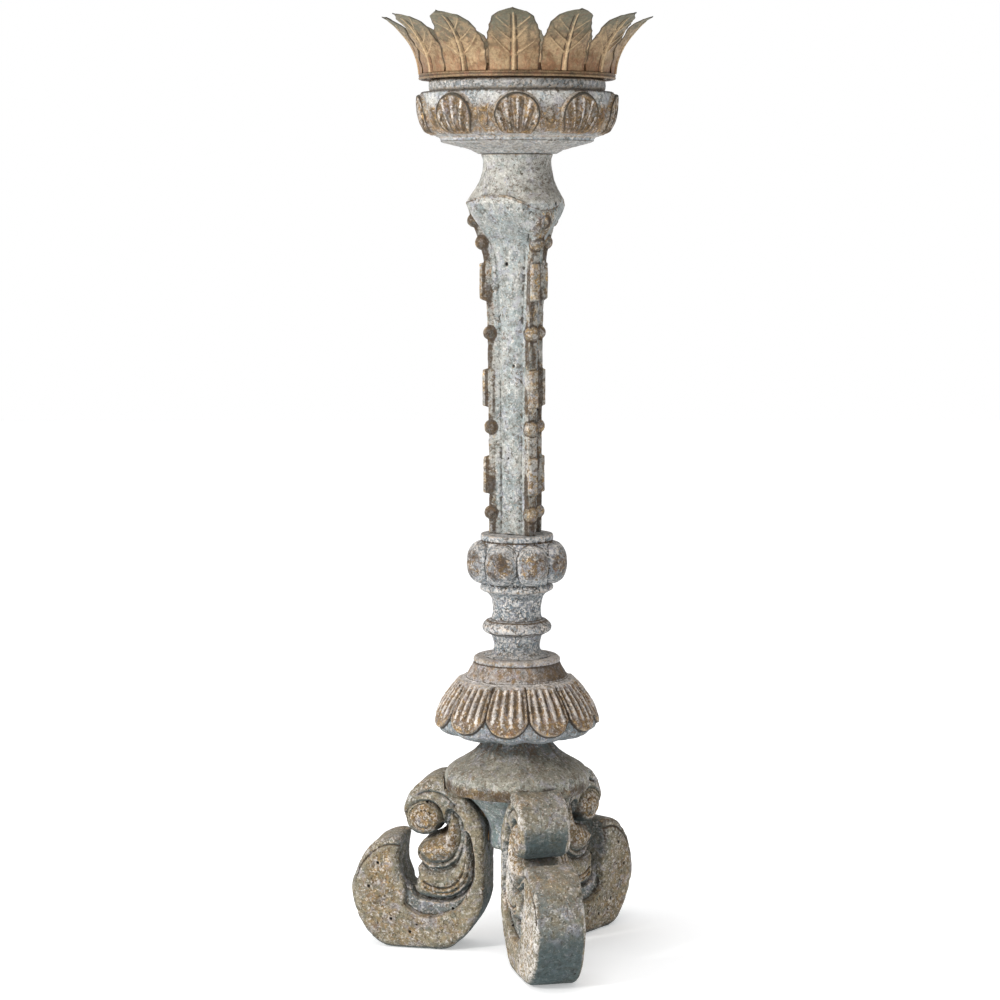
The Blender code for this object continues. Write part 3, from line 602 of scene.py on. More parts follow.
def leg_maps():
    """Side-view maps of a leg: outline distance, half thickness, and where it is gilt, blue-grey, stained, and painted
    with shade.
    """
    u = np.arange(22.0, 165.0, LEG_VOXEL)
    z = np.arange(-4.0, 176.0, LEG_VOXEL)
    uu, zz = np.meshgrid(u, z, indexing="ij")
    rim = outline_distance(uu, zz, spline(LEG_OUTLINE, 2.0))
    flat = np.stack([uu.ravel(), zz.ravel(), np.zeros(uu.size)], 1)
    wobble = noise(flat, 14.0, 71).reshape(uu.shape) * 0.8
    uw, zw = uu + wobble, zz - wobble * 0.6
    eye = np.hypot(uw - EYE[0], zw - EYE[1])
    upper = outline_distance(uw, zw, spline(UPPER_FROND + UPPER_FROND[:1], 2.0)[:-1])
    lower = outline_distance(uw, zw, spline(LOWER_FROND + LOWER_FROND[:1], 2.0)[:-1])
    field = outline_distance(uw, zw, spline(FIELD + FIELD[:1], 2.0)[:-1])
    band = line_distance(uw, zw, spline(BAND_LINE, 2.0))
    toe = line_distance(uw, zw, spline(TOE_LINE, 2.0))
    half = np.full(uu.shape, LEG_HALF)
    half -= 1.6 * smooth(-rim, 9.0, 0.0)
    zone = np.minimum(upper, lower) - 5.5
    half -= 7.5 * smooth(-zone, 0.0, 2.2)
    half -= 6.0 * smooth(-field, -0.3, 1.6)
    rise = np.sqrt(np.clip(-upper / 11.0, 0.0, 1.0))
    half += np.where(upper < 0.0, 8.5 * rise, 0.0)
    lip = np.clip(1.0 - np.abs(upper - 2.6) / 2.4, 0.0, 1.0) * smooth(uw * 0.35 - zw, -92.0, -70.0)
    half += np.where(upper > 0.0, 4.2 * np.sqrt(lip), 0.0)
    rise = np.sqrt(np.clip(-lower / 7.0, 0.0, 1.0))
    half += np.where(lower < 0.0, 7.0 * rise, 0.0)
    gilt_line = np.full(uu.shape, 1e9)
    for line in GILT_LINES:
        gilt_line = np.minimum(gilt_line, line_distance(uw, zw, spline(line, 2.0)))
    half -= 1.7 * np.exp(-((gilt_line / 1.1) ** 2))
    ring = np.exp(-(((eye - EYE_RADIUS - 2.2) / 2.1) ** 2))
    inward = smooth((EYE[0] - uw) * 0.8 - (zw - EYE[1]) * 0.25, -9.0, 12.0)
    half -= (2.2 + 8.0 * inward) * ring
    half = np.where(eye < EYE_RADIUS, LEG_HALF - 4.0 + 6.5 * np.sqrt(np.clip(1 - (eye / EYE_RADIUS) ** 2, 0, 1)), half)
    half -= 0.9 * np.exp(-(((eye - 8.6) / 1.0) ** 2))
    half -= 1.5 * np.exp(-((band / 1.2) ** 2)) + 0.9 * smooth(band, 5.0, 0.0)
    half -= 1.5 * np.exp(-((toe / 1.2) ** 2))
    notch = np.hypot(uu - 69.5, zz - 119.5)
    half -= 13.0 * smooth(-notch, -6.0, -2.5)
    gilt = np.zeros(uu.shape)
    gilt = np.maximum(gilt, 1.0 * smooth(-upper, 0.5, 4.0))
    gilt = np.maximum(gilt, 0.95 * smooth(-eye, -EYE_RADIUS, -EYE_RADIUS + 2.5))
    gilt = np.maximum(gilt, 0.9 * np.exp(-((gilt_line / 2.4) ** 2)))
    gilt = np.maximum(gilt, 0.85 * np.exp(-((band / 2.0) ** 2)) * (zz < 120.0))
    gilt = np.maximum(gilt, 0.45 * smooth(uu, 108.0, 118.0) * smooth(toe, 2.0, 6.0) * (rim < -8.0))
    gilt = np.maximum(gilt, 0.3 * (zz < 34.0))
    chill = np.maximum(1.0 * smooth(-field, 0.0, 2.0), 0.7 * (zone < 0.0) * (upper > 0.5) * smooth(lower, -6.0, 0.0))
    chill = np.maximum(chill, 0.45 * smooth(zz, 138.0, 150.0))
    chill = np.maximum(chill, 0.5 * smooth(-rim, 7.0, 2.0) * (uu > 112.0) * (zz > 60.0))
    # Darker along the carved toe and band lines; painted shade in the recess round the eye and in the notch
    stain = 0.75 * np.exp(-((toe / 0.9) ** 2)) + 0.6 * np.exp(-((band / 0.8) ** 2)) + 0.5 * ring * inward
    stain = np.maximum(stain, 0.8 * smooth(-notch, -9.0, -4.0))
    stain = np.maximum(stain, 0.4 * smooth(rim, -7.0, 0.0))
    return u, z, rim, half, gilt, chill, np.clip(stain, 0.0, 1.0)


def sampled(u_axis, z_axis, values, u, z):
    """A side-view map read between its grid points."""
    i = np.clip((u - u_axis[0]) / LEG_VOXEL, 0, len(u_axis) - 1.001)
    j = np.clip((z - z_axis[0]) / LEG_VOXEL, 0, len(z_axis) - 1.001)
    i0, j0 = i.astype(int), j.astype(int)
    a, b = i - i0, j - j0
    low = values[i0, j0] * (1 - a) + values[i0 + 1, j0] * a
    high = values[i0, j0 + 1] * (1 - a) + values[i0 + 1, j0 + 1] * a
    return low * (1 - b) + high * b


def make_legs():
    u, z, rim, half, gilt, chill, stain = leg_maps()
    v = np.arange(-30.0, 30.1, LEG_VOXEL)
    depth = np.abs(v)[None, :, None] - half[:, None, :]
    tuck = 1.6 * smooth(np.abs(v), LEG_HALF - 7.0, LEG_HALF + 1.0)[None, :, None]
    field = soft_max(rim[:, None, :] + tuck * 0.6, depth * 0.8, 3.2)
    reach = np.hypot(u[:, None], v[None, :])[:, :, None]
    cap_room = np.maximum(70.4 - reach, (HUB_TOP - GAP) - z[None, None, :])
    cap_room = -np.maximum(reach - 70.5, (HUB_TOP - GAP) - z[None, None, :])
    field = np.maximum(field, cap_room)
    field = np.maximum(field, 27.3 - u[:, None, None])
    field = np.maximum(field, 0.15 - z[None, None, :])
    points, quads = surface_of(field, (u[0], v[0], z[0]), LEG_VOXEL)
    quads = oriented(points, quads)
    for number, (side, azimuth) in enumerate(LEG_AZIMUTHS.items()):
        out, across = direction(azimuth), direction(azimuth + 90.0)
        placed = points[:, :1] * out + points[:, 1:2] * across + points[:, 2:] * np.array([0.0, 0.0, 1.0])
        holes = []
        for i, (hu, hz) in enumerate(LEG_HOLES):
            face = float(sampled(u, z, half, np.array([hu]), np.array([hz]))[0])
            sign = 1.0 if (i + number) % 3 else -1.0
            for s in (sign, -sign):
                holes.append((out * hu + across * face * s + np.array([0.0, 0.0, hz]), 1.5))
        turned_quads = oriented(placed, quads)
        moved, values = aged(placed, turned_quads, 100 + 20 * number, 0.42, 0.5, holes)
        moved[:, 2] = np.maximum(moved[:, 2], 0.1)
        side_face = smooth(np.abs(points[:, 1]), 17.0, 21.5)
        deep = sampled(u, z, half, points[:, 0], points[:, 2])
        on_face = smooth(np.abs(points[:, 1]) - deep, -3.5, -1.0)
        mottled = noise(moved, 22.0, 300 + number) * 0.25
        underside = smooth(points[:, 2], 20.0, 2.0)
        values["gilt"] = np.clip(sampled(u, z, gilt, points[:, 0], points[:, 2]) * on_face + mottled, 0.0, 1.0)
        cool_edge = 0.65 * (1.0 - on_face)
        values["chill"] = np.clip(
            np.maximum(sampled(u, z, chill, points[:, 0], points[:, 2]) * on_face, cool_edge) - mottled, 0.0, 1.0
        )
        values["stain"] = sampled(u, z, stain, points[:, 0], points[:, 2]) * on_face + 0.2 * underside * side_face
        # Painted shade in blotches, by leg
        values["stain"] += SOILED[side] * smooth(noise(moved, 26.0, 360 + number), -0.3, 0.3)
        carved = sampled(u, z, gilt, points[:, 0], points[:, 2]) * on_face
        bleach = smooth(noise(moved, 30.0, 340 + number), -0.25, 0.35)
        # White flecks: painted highlights on the carved gilt and blue-grey zones, and painted light patches on the
        # front leg
        values["chalk"] = np.clip((0.3 * values["chill"] + 0.3 * carved + BLEACHED[side] * bleach) * on_face, 0.0, 1.0)
        # Painted shade: edge faces near the floor and the lower volute ends join the downward faces
        low_edge = (1.0 - on_face) * smooth(-points[:, 2], -72.0, -48.0)
        volute_end = (1.0 - on_face) * smooth(points[:, 0], 92.0, 98.0) * (points[:, 2] > 112.0)
        low_edge = np.maximum(low_edge, volute_end * smooth(-points[:, 2], -146.0, -138.0))
        values["under"] = np.clip(values["under"] + 0.75 * low_edge, 0.0, 1.0)
        mesh = mesh_from(f"carved_leg_{side}", moved, turned_quads)
        store(mesh, **values)
        piece(f"carved_leg_{side}", mesh, LEG_PAINT, "leg_paint", "stand", f"leg_{side}")


# ---------------------------------------------------------------- hub


# ---------------------------------------------------------------- turned column


def turned_piece(name, corners, columns, step, seed, material, slot, node, relief=None, paint=None, lumps=0.3, flakes=0.4):
    """A turned wooden piece; paint(angle, radius, height) gives its masks for gilt, blue-grey wash, stain and white
    flecks, which also carry painted shade and painted highlights.
    """
    profile = spline(corners, step)
    points, quads = turned_surface(profile, columns, relief)
    low, high = profile[:, 1].min(), profile[:, 1].max()
    moved, values = aged(points, quads, seed, lumps, flakes)
    hidden = (points[:, 2] > high - 0.02) | (points[:, 2] < low + 0.02)
    moved[hidden] = points[hidden]
    moved[:, 2] = np.clip(moved[:, 2], low, high)
    angle = np.degrees(np.arctan2(points[:, 0], -points[:, 1]))
    radius = np.hypot(points[:, 0], points[:, 1])
    names = ("gilt", "chill", "stain", "chalk")
    values.update({k: np.clip(v + 0.0 * angle, 0, 1) for k, v in zip(names, paint(angle, radius, points[:, 2]))})
    mesh = mesh_from(name, moved, quads)
    store(mesh, **values)
    return piece(name, mesh, material, slot, "stand", node)


def make_hub():
    foot, top = (corner[2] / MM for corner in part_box("base_hub"))
    corners = [
        (13.0, top, 1), (51.6, top, 1), (52.2, 158.6), (46.8, 152.4), (40.2, 145.4), (34.0, 138.0), (29.4, 131.0),
        (26.9, 124.0), (26.4, 117.0), (26.6, 109.0), (26.2, 105.2), (24.2, 102.6), (22.0, foot, 1), (0.8, foot, 1),
    ]

    def paint(angle, radius, height):
        return 0.05, 0.6, 0.35 * smooth(-height, -110.0, -102.0), 0.1

    turned_piece("turned_hub", corners, 220, 0.9, 60, HUB_PAINT, "hub_paint", "base_hub", None, paint, 0.3, 0.3)


def make_cap():
    foot, top = HUB_TOP + GAP / 2.0, CAP_TOP - GAP / 2.0
    corners = [
        (14.0, top, 1), (31.5, top, 1), (33.5, 206.5), (37.0, 201.5), (43.0, 195.5), (51.0, 190.0), (60.0, 184.6),
        (66.0, 180.0), (69.2, 175.0), (69.8, 169.5), (69.5, 164.0), (68.4, 160.8), (66.5, foot, 1), (14.0, foot, 1),
    ]

    def paint(angle, radius, height):
        edge = smooth(-height, -176.0, -166.0)
        front = np.exp(-(((angle + 22.0) / 40.0) ** 2))
        # Painted shade: the neck under the skirt darkened and turned blue-grey
        neck = smooth(height, 190.0, 204.0)
        streaks = smooth(noise(np.stack([angle * 0.9, height * 0.4, radius * 0.0], 1), 12.0, 23), -0.1, 0.4)
        return 0.9 * edge * front + 0.4 * edge, 0.2 + 0.8 * neck - 0.2 * edge, 0.2 * neck + 0.6 * edge + 0.4 * streaks, 0.0

    turned_piece("turned_cap", corners, 420, 0.9, 20, CAP_PAINT, "cap_paint", "base_cap", None, paint, 0.3, 0.3)


PETALS, FIRST_PETAL = 11, -7.4


def petal_relief(angle, radius, height):
    away, _ = offset_from(angle, FIRST_PETAL, PETALS)
    share = away / (180.0 / PETALS)
    width = radius * math.radians(180.0 / PETALS)
    tip = 224.0 + 15.0 * np.abs(share) ** 2.6
    above = smooth(height, tip - 0.4, tip + 1.2)
    below = smooth(-height, -269.0, -265.0)
    seam = smooth((1.0 - np.abs(share)) * width, 0.2, 2.4)
    flute = np.cos(math.pi * share * 2.5) ** 2
    gouge = smooth(height, 229.0, 248.0) * smooth(-height, -267.0, -259.0)
    edge = np.exp(-(((1.0 - np.abs(share)) * width - 2.6) / 1.2) ** 2)
    proud = 3.6 * seam - 2.5 * flute * gouge * seam + 0.5 * edge
    scallop = 1.2 * np.cos(math.pi * share) * smooth(-height, -226.0, -221.0)
    return above * below * proud + scallop * (1.0 - above)


def make_skirt():
    foot, top = CAP_TOP + GAP / 2.0, SKIRT_TOP - GAP / 2.0
    corners = [
        (14.0, top, 1), (39.0, top, 1), (41.2, 288.4), (41.8, 286.4), (41.4, 284.6, 1), (43.2, 280.4), (46.8, 274.0),
        (48.8, 269.6, 1), (50.6, 268.6), (55.5, 263.6), (62.0, 256.0), (67.6, 248.6), (72.0, 240.4), (75.0, 232.0),
        (76.0, 227.0), (75.4, 222.6), (72.0, 219.4), (66.0, 217.0), (58.0, 215.0), (52.0, foot, 1), (14.0, foot, 1),
    ]

    def paint(angle, radius, height):
        away, number = offset_from(angle, FIRST_PETAL, PETALS)
        share = away / (180.0 / PETALS)
        tip = 224.0 + 15.0 * np.abs(share) ** 2.6
        petal = smooth(height, tip - 1.0, tip + 1.5) * smooth(-height, -268.0, -264.0)
        ring = smooth(height, 269.5, 271.5) * smooth(-height, -285.0, -283.0)
        flute = np.cos(math.pi * share * 2.5) ** 2
        gold = petal * (0.75 + 0.25 * smooth(-height, -246.0, -232.0))
        seam = petal * np.exp(-(((1.0 - np.abs(share)) / 0.07) ** 2))
        # Darker at petal seams, flutes, tips and the groove; painted shade on the ring towards the right
        stain = 0.9 * seam + 0.7 * ring * smooth(angle, -20.0, 50.0) + 0.45 * petal * flute**2 * smooth(height, 230.0, 242.0)
        stain = stain + 0.9 * np.exp(-(((height - tip) / 1.0) ** 2)) + np.exp(-(((height - 284.4) / 0.9) ** 2))
        # Painted highlights: white on the petal ridges and along the line at 269 mm
        chalk = 1.2 * petal * (1.0 - flute) ** 3 * smooth(height, 230.0, 242.0) + 0.8 * np.exp(-(((height - 269.2) / 1.2) ** 2))
        return gold + 0.5 * ring, 0.9 * (1.0 - petal) * smooth(-height, -240.0, -235.0) + 0.2, stain, chalk

    turned_piece(
        "carved_skirt", corners, 620, 0.75, 30, SKIRT_PAINT, "petal_gilt", "petal_skirt", petal_relief, paint, 0.3, 0.4
    )


BOSSES, FIRST_BOSS, BOSS_HEIGHT = 8, 22.5, 381.0


def boss_relief(angle, radius, height):
    away, _ = offset_from(angle, FIRST_BOSS, BOSSES)
    across = np.abs(away) / 22.5
    up = (height - BOSS_HEIGHT) / 19.5
    inside = np.clip(1.0 - across**2.6 - np.abs(up) ** 3.0, 0.0, 1.0)
    return 7.6 * inside**0.95


def make_baluster():
    foot, top = SKIRT_TOP + GAP / 2.0, BALUSTER_TOP - GAP / 2.0
    corners = [
        (13.0, top, 1), (34.2, top, 1), (34.9, 406.6), (34.9, 403.4), (34.4, 401.8, 1), (36.4, 398.6), (40.4, 392.0),
        (42.2, 384.0), (41.8, 376.0), (39.4, 367.6), (34.4, 361.6), (34.0, 359.4, 1), (34.9, 357.2), (34.2, 354.2), (28.6, 351.6),
        (25.0, 347.0), (23.4, 340.0), (22.8, 335.0), (23.4, 329.0), (24.8, 325.8, 1), (29.0, 324.2), (32.2, 321.0),
        (33.2, 318.0), (32.0, 314.6), (28.0, 312.2), (25.2, 311.4, 1), (24.0, 309.0), (22.6, 304.0), (22.0, 299.0),
        (23.4, 295.0), (26.6, 292.4), (32.5, foot, 1), (13.0, foot, 1),
    ]

    def paint(angle, radius, height):
        away, number = offset_from(angle, FIRST_BOSS, BOSSES)
        boss = np.exp(-(((height - BOSS_HEIGHT) / 15.0) ** 4))
        crown_of = boss * smooth(radius, 43.0, 47.0)
        ring = np.exp(-(((height - 319.0) / 4.5) ** 2)) * smooth(radius, 30.5, 32.5)
        lower_ring = np.exp(-(((height - 356.5) / 2.0) ** 2))
        plate = np.exp(-(((height - 402.0) / 1.1) ** 2))
        gilt = 0.85 * crown_of + 0.7 * ring + 0.4 * lower_ring + 0.5 * plate
        rims = np.exp(-(((height - 324.4) / 1.0) ** 2)) + np.exp(-(((height - 313.2) / 1.2) ** 2))
        patches = crown_of * smooth(noise(np.stack([angle * 0.8, height, radius * 0.0], 1), 9.0, 47), -0.1, 0.2)
        stain = 0.9 * plate + 0.9 * rims * (radius > 27.0) + 0.7 * patches
        return gilt, 0.35 + 0.3 * (1.0 - boss), stain, 0.5 * (1.0 - crown_of)

    turned_piece(
        "carved_baluster", corners, 400, 0.7, 40, BALUSTER_PAINT, "baluster_paint", "baluster", boss_relief, paint, 0.34, 0.45
    )


LOBES, FIRST_LOBE = 9, 0.0


def lobe_shape(angle, height):
    """Distance in mm inside a lobe's arch (negative outside), and the fan angle within it."""
    away, _ = offset_from(angle, FIRST_LOBE, LOBES)
    across = np.radians(away) * 92.0
    up = height - 785.0
    arch = np.where(
        up > 17.0,
        22.5 - np.hypot(across, (up - 17.0) * 22.5 / 21.5),
        (22.5 - 7.5 * ((17.0 - up) / 17.0) ** 1.6) - np.abs(across),
    )
    return np.minimum(arch, up * 1.2), np.degrees(np.arctan2(across, up + 24.0))


def lobe_relief(angle, radius, height):
    inside, fan = lobe_shape(angle, height)
    zone = (height > 784.5) & (height < 825.0) & (radius > 74.0)
    body = 3.6 * smooth(inside, 0.0, 2.2) * smooth(height, 785.0, 792.0)
    band = 0.8 * np.exp(-(((inside - 2.4) / 1.6) ** 2))
    flute = np.cos(math.pi * fan / 12.0) ** 2
    gouge = 2.8 * (1.0 - flute) ** 2.4 * smooth(inside, 3.0, 5.0)
    away, _ = offset_from(angle, FIRST_LOBE + 20.0, LOBES)
    across = np.radians(away) * 92.0
    bud = np.clip(1.0 - (across / 4.8) ** 2 - ((height - 800.0) / 10.0) ** 2, 0.0, 1.0)
    return np.where(zone, body + band - gouge + 3.2 * bud**0.6, 0.0)


def make_cup():
    foot, top = SHAFT_TOP + GAP / 2.0, CUP_TOP - GAP / 2.0
    corners = [
        (60.0, top, 1), (89.5, top, 1), (90.6, 823.2), (90.9, 818.0), (90.4, 808.0), (88.4, 799.0), (84.6, 792.0),
        (80.0, 787.0), (76.4, 784.6, 1), (73.4, 783.6), (72.4, 781.8), (71.8, 779.8, 1), (66.0, 777.6), (57.0, 775.4),
        (48.0, 773.2), (41.0, 770.8), (36.4, foot, 1), (14.0, foot, 1),
    ]

    def paint(angle, radius, height):
        inside, fan = lobe_shape(angle, height)
        lobe = smooth(inside, -0.5, 1.5) * (height > 785.0)
        flute = np.cos(math.pi * fan / 12.0) ** 2
        away, _ = offset_from(angle, FIRST_LOBE + 20.0, LOBES)
        bud = np.exp(-((np.radians(away) * 92.0 / 5.0) ** 2) - ((height - 799.0) / 9.0) ** 2)
        slot = lobe * (1.0 - flute) ** 4 * smooth(inside, 3.5, 6.0)
        rim = np.exp(-(((inside + 0.5) / 1.1) ** 2)) * smooth(height, 792.0, 802.0)
        lip = np.exp(-(((height - 824.6) / 1.0) ** 2)) * (radius > 85.0)
        below = smooth(-height, -797.0, -786.0)
        between = (1.0 - lobe) * smooth(-height, -818.0, -808.0) * smooth(height, 784.0, 789.0)
        gilt = 0.85 * lobe + 0.7 * bud + 0.85 * between
        # Painted highlights on the lobes' ribs, and white flecks on the plain parts
        chalk = 0.9 * lobe * flute**3 * smooth(inside, 3.0, 6.0) + 0.3 * (1.0 - lobe) * (1.0 - between)
        return gilt, 0.4 * (1.0 - lobe) + 0.3 * below, 0.7 * slot + 0.55 * rim + 0.8 * lip, chalk

    turned_piece("carved_cup", corners, 700, 0.8, 50, CUP_PAINT, "cup_gilt", "candle_cup", lobe_relief, paint, 0.32, 0.45)


def make_disc():
    foot, top = CUP_TOP + GAP / 2.0, DISC_TOP
    corners = [
        (6.0, top, 1), (80.4, top, 1), (82.4, 835.9), (83.0, 833.6), (82.9, 829.2), (82.2, 826.8), (81.0, foot, 1),
        (6.0, foot, 1),
    ]

    def paint(angle, radius, height):
        # Painted shadow on the top edge under the crown rim; the lower edge darker where it meets the cup
        return 0.15, 0.4, 0.4 * smooth(-height, -827.5, -826.0) + 0.8 * smooth(height, 834.0, 836.0), 0.4

    turned_piece("turned_disc", corners, 520, 0.9, 55, DISC_PAINT, "disc_paint", "top_disc", None, paint, 0.25, 0.35)


# ---------------------------------------------------------------- shaft

SHAFT_CORNERS = (-96.0, 34.0, 126.0)
RIB_HALF, RIB_DEPTH = 5.0, 9.6
SHAFT_VOXEL = 0.8
BALLS = (706.0, 685.0, 599.5, 510.0, 428.0)
BALL_RADIUS = 6.9
BILLETS = (648.5, 547.5, 464.5)
LUMP_CORNER = 34.0


def rib_reach(height):
    return np.interp(height, (408, 500, 600, 620, 650, 672, 684, 695, 706, 714, 722),
                     (25.6, 25.9, 27.0, 27.7, 29.2, 31.4, 34.2, 38.4, 42.2, 44.8, 46.5))


def shaft_section(height):
    """The shaft's outline at a height, corner by corner, in mm."""
    reach = float(rib_reach(height))
    open_share = float(smooth(np.array(height), 668.0, 727.0)) ** 1.5
    groove_share = 1.0 - float(smooth(np.array(height), 684.0, 712.0))
    points = []
    for start, end in zip(SHAFT_CORNERS, SHAFT_CORNERS[1:] + (SHAFT_CORNERS[0] + 360.0,)):
        half = math.radians(end - start) / 2.0
        middle = direction((start + end) / 2.0)
        across = direction((start + end) / 2.0 + 90.0)
        inner = reach - RIB_DEPTH
        rib_depth = inner * math.cos(half) + RIB_HALF * math.sin(half)
        rib_width = inner * math.sin(half) - RIB_HALF * math.cos(half)
        edge_depth = reach * math.cos(half) + RIB_HALF * math.sin(half)
        edge_width = reach * math.sin(half) - RIB_HALF * math.cos(half)
        panel = rib_depth + 1.5 + open_share * (43.0 - rib_depth - 1.5)
        groove = panel - 2.6 * groove_share
        chamfer = 0.8
        side = [
            (edge_depth, edge_width + chamfer),
            (edge_depth - chamfer * 0.6, edge_width),
            (rib_depth + open_share * (edge_depth - rib_depth), rib_width),
            (groove, rib_width - 0.8),
            (groove + 0.2, rib_width - 2.4),
            (panel - 1.0 * groove_share, rib_width - 4.0),
            (panel, rib_width - 6.4),
        ]
        for depth, width in [(d, -w) for d, w in side] + [(d, w) for d, w in reversed(side)]:
            points.append((middle * depth + across * width)[:2])
    return np.array(points)


def section_distance(x, y, outline):
    return outline_distance(x, y, outline)


def collar_radius(height):
    return np.interp(height, (700, 706, 712, 716, 719, 722, 725, 730, 735, 740, 745, 750, 755, 760, 764, 768),
                     (35.5, 37.5, 41.0, 44.0, 45.4, 46.0, 45.2, 42.2, 39.2, 36.8, 34.9, 33.6, 32.6, 32.1, 32.5, 34.2))


def corner_share(angle):
    """1 at the shaft's corners, 0 midway between them, for an array of azimuths."""
    best = np.full(angle.shape, 180.0)
    for corner in SHAFT_CORNERS:
        best = np.minimum(best, np.abs((angle - corner + 180.0) % 360.0 - 180.0))
    return 1.0 - smooth(best, 0.0, 52.0)


def arch_height(angle):
    return 728.0 - 12.5 * corner_share(angle) ** 0.9


def make_shaft():
    foot, top = BALUSTER_TOP + GAP / 2.0, SHAFT_TOP - GAP / 2.0
    x = np.arange(-54.0, 54.1, SHAFT_VOXEL)
    z = np.arange(foot - 3.2, top + 3.2, SHAFT_VOXEL)
    xx, yy = np.meshgrid(x, x, indexing="ij")
    angle = np.degrees(np.arctan2(xx, -yy))
    radius = np.hypot(xx, yy)
    spread = corner_share(angle)
    arch = arch_height(angle)
    field = np.empty((len(x), len(x), len(z)), np.float32)
    every = 3
    keys = list(range(0, len(z), every)) + [len(z) - 1]
    slices = {}
    for k in keys:
        slices[k] = section_distance(xx, yy, shaft_section(min(max(z[k], foot), 727.0)))
    for a, b in zip(keys[:-1], keys[1:]):
        for k in range(a, b + 1):
            t = (k - a) / max(b - a, 1)
            field[:, :, k] = slices[a] * (1 - t) + slices[b] * t
    body = np.maximum(field, z[None, None, :] - arch[:, :, None] - 1.5)
    swell = 1.0 + 0.045 * (2.0 * spread - 1.0)
    width = collar_radius(z)[None, None, :] * (1.0 + (swell - 1.0)[:, :, None] * smooth(-z, -752.0, -724.0)[None, None, :])
    collar = np.maximum((radius[:, :, None] - width) * 0.8, arch[:, :, None] - z[None, None, :])
    field = soft_min(body, collar, 0.9)
    for corner in SHAFT_CORNERS:
        out, across = direction(corner), direction(corner + 90.0)
        along = xx * out[0] + yy * out[1]
        sideways = xx * across[0] + yy * across[1]
        for ball in BALLS:
            if corner == LUMP_CORNER and ball == BALLS[0]:
                continue
            reach = float(rib_reach(ball)) - 1.4
            near = np.abs(z - ball) < 11.0
            distance = np.sqrt(((along - reach) ** 2 + sideways**2)[:, :, None] + (z[near] - ball)[None, None, :] ** 2)
            field[:, :, near] = soft_min(field[:, :, near], distance - BALL_RADIUS, 0.9)
        for billet in BILLETS:
            reach = float(rib_reach(billet)) + (6.4 if corner == SHAFT_CORNERS[0] else 4.4) - 4.8
            near = np.abs(z - billet) < 23.0
            side = np.abs(sideways) - 5.1
            ends = (np.abs(z[near] - billet) - 18.2)[None, None, :] + 0.3 * np.clip(along - reach, -2, 6)[:, :, None]
            bar = np.maximum(np.maximum(side, np.abs(along - reach) - 4.8)[:, :, None], ends * 0.75)
            bar = soft_max(bar, (np.abs(sideways) * 0.7 + (along - reach) * 0.7 - 6.1)[:, :, None], 0.6)
            field[:, :, near] = soft_min(field[:, :, near], bar, 0.5)
    out, across = direction(LUMP_CORNER), direction(LUMP_CORNER + 90.0)
    along, sideways = xx * out[0] + yy * out[1], xx * across[0] + yy * across[1]
    near = (z > 684.0) & (z < 730.0)
    lean = np.interp(z[near], (690.0, 722.0), (36.6, 41.5))
    lump = np.sqrt(
        ((along[:, :, None] - lean) / 0.9) ** 2 + ((sideways[:, :, None] + 3.0) / 1.8) ** 2 + ((z[near] - 707.0) / 1.9) ** 2
    ) - 8.4
    field[:, :, near] = soft_min(field[:, :, near], lump * 0.8, 6.0)
    field = np.maximum(field, (z - top)[None, None, :])
    field = np.maximum(field, (foot - z)[None, None, :])
    points, quads = surface_of(field, (x[0], x[0], z[0]), SHAFT_VOXEL)
    quads = oriented(points, quads)
    face = direction(-31.0)
    side = direction(59.0)
    holes = [
        (face * 20.0 + side * 3.0 + np.array([0, 0, 698.5]), 2.0),
        (face * 15.0 + side * -3.0 + np.array([0, 0, 665.0]), 2.0),
        (face * 14.0 + side * 4.0 + np.array([0, 0, 569.0]), 1.6),
        (face * 14.0 + side * -2.0 + np.array([0, 0, 481.0]), 1.6),
        (face * 14.0 + side * 1.0 + np.array([0, 0, 443.0]), 1.4),
        (direction(50.0) * 46.0 + np.array([0, 0, 722.0]), 2.2),
        (direction(95.0) * 45.0 + np.array([0, 0, 724.0]), 2.4),
        (direction(150.0) * 20.0 + np.array([0, 0, 640.0]), 1.8),
        (direction(-150.0) * 15.0 + np.array([0, 0, 590.0]), 1.8),
        (direction(200.0) * 36.0 + np.array([0, 0, 745.0]), 1.8),
    ]
    moved, values = aged(points, quads, 80, 0.3, 0.4, holes)
    moved[:, 2] = np.clip(moved[:, 2], foot, top)
    angle = np.degrees(np.arctan2(points[:, 0], -points[:, 1]))
    radius = np.hypot(points[:, 0], points[:, 1])
    height = points[:, 2]
    gilt = np.zeros(len(points))
    stain = np.zeros(len(points))
    rib = np.zeros(len(points))
    for corner in SHAFT_CORNERS:
        out, across = direction(corner), direction(corner + 90.0)
        along, sideways = points @ out, points @ across
        on_rib = smooth(-np.abs(sideways), -6.6, -5.2) * smooth(along, rib_reach(height) - 7.5, rib_reach(height) - 5.0)
        rib = np.maximum(rib, on_rib * (height < 700.0))
        for ball in BALLS:
            reach = rib_reach(ball) - 1.4
            distance = np.sqrt((along - reach) ** 2 + sideways**2 + (height - ball) ** 2)
            gilt = np.maximum(gilt, smooth(-distance, -8.4, -7.4))
            # Painted shade: a dark ring where each ball meets the rib, and one side of each ball darker
            shaded = 0.5 * np.exp(-(((distance - 8.2) / 0.8) ** 2)) + 0.45 * (distance < 9.0) * smooth(sideways, 0.0, 5.0)
            stain = np.maximum(stain, shaded + 0.22 * (distance < 8.6))
        for billet in BILLETS:
            bar = (np.abs(height - billet) < 19.5) & (along > rib_reach(billet) + 0.5) & (np.abs(sideways) < 7.0)
            gilt = np.maximum(gilt, bar * 0.9)
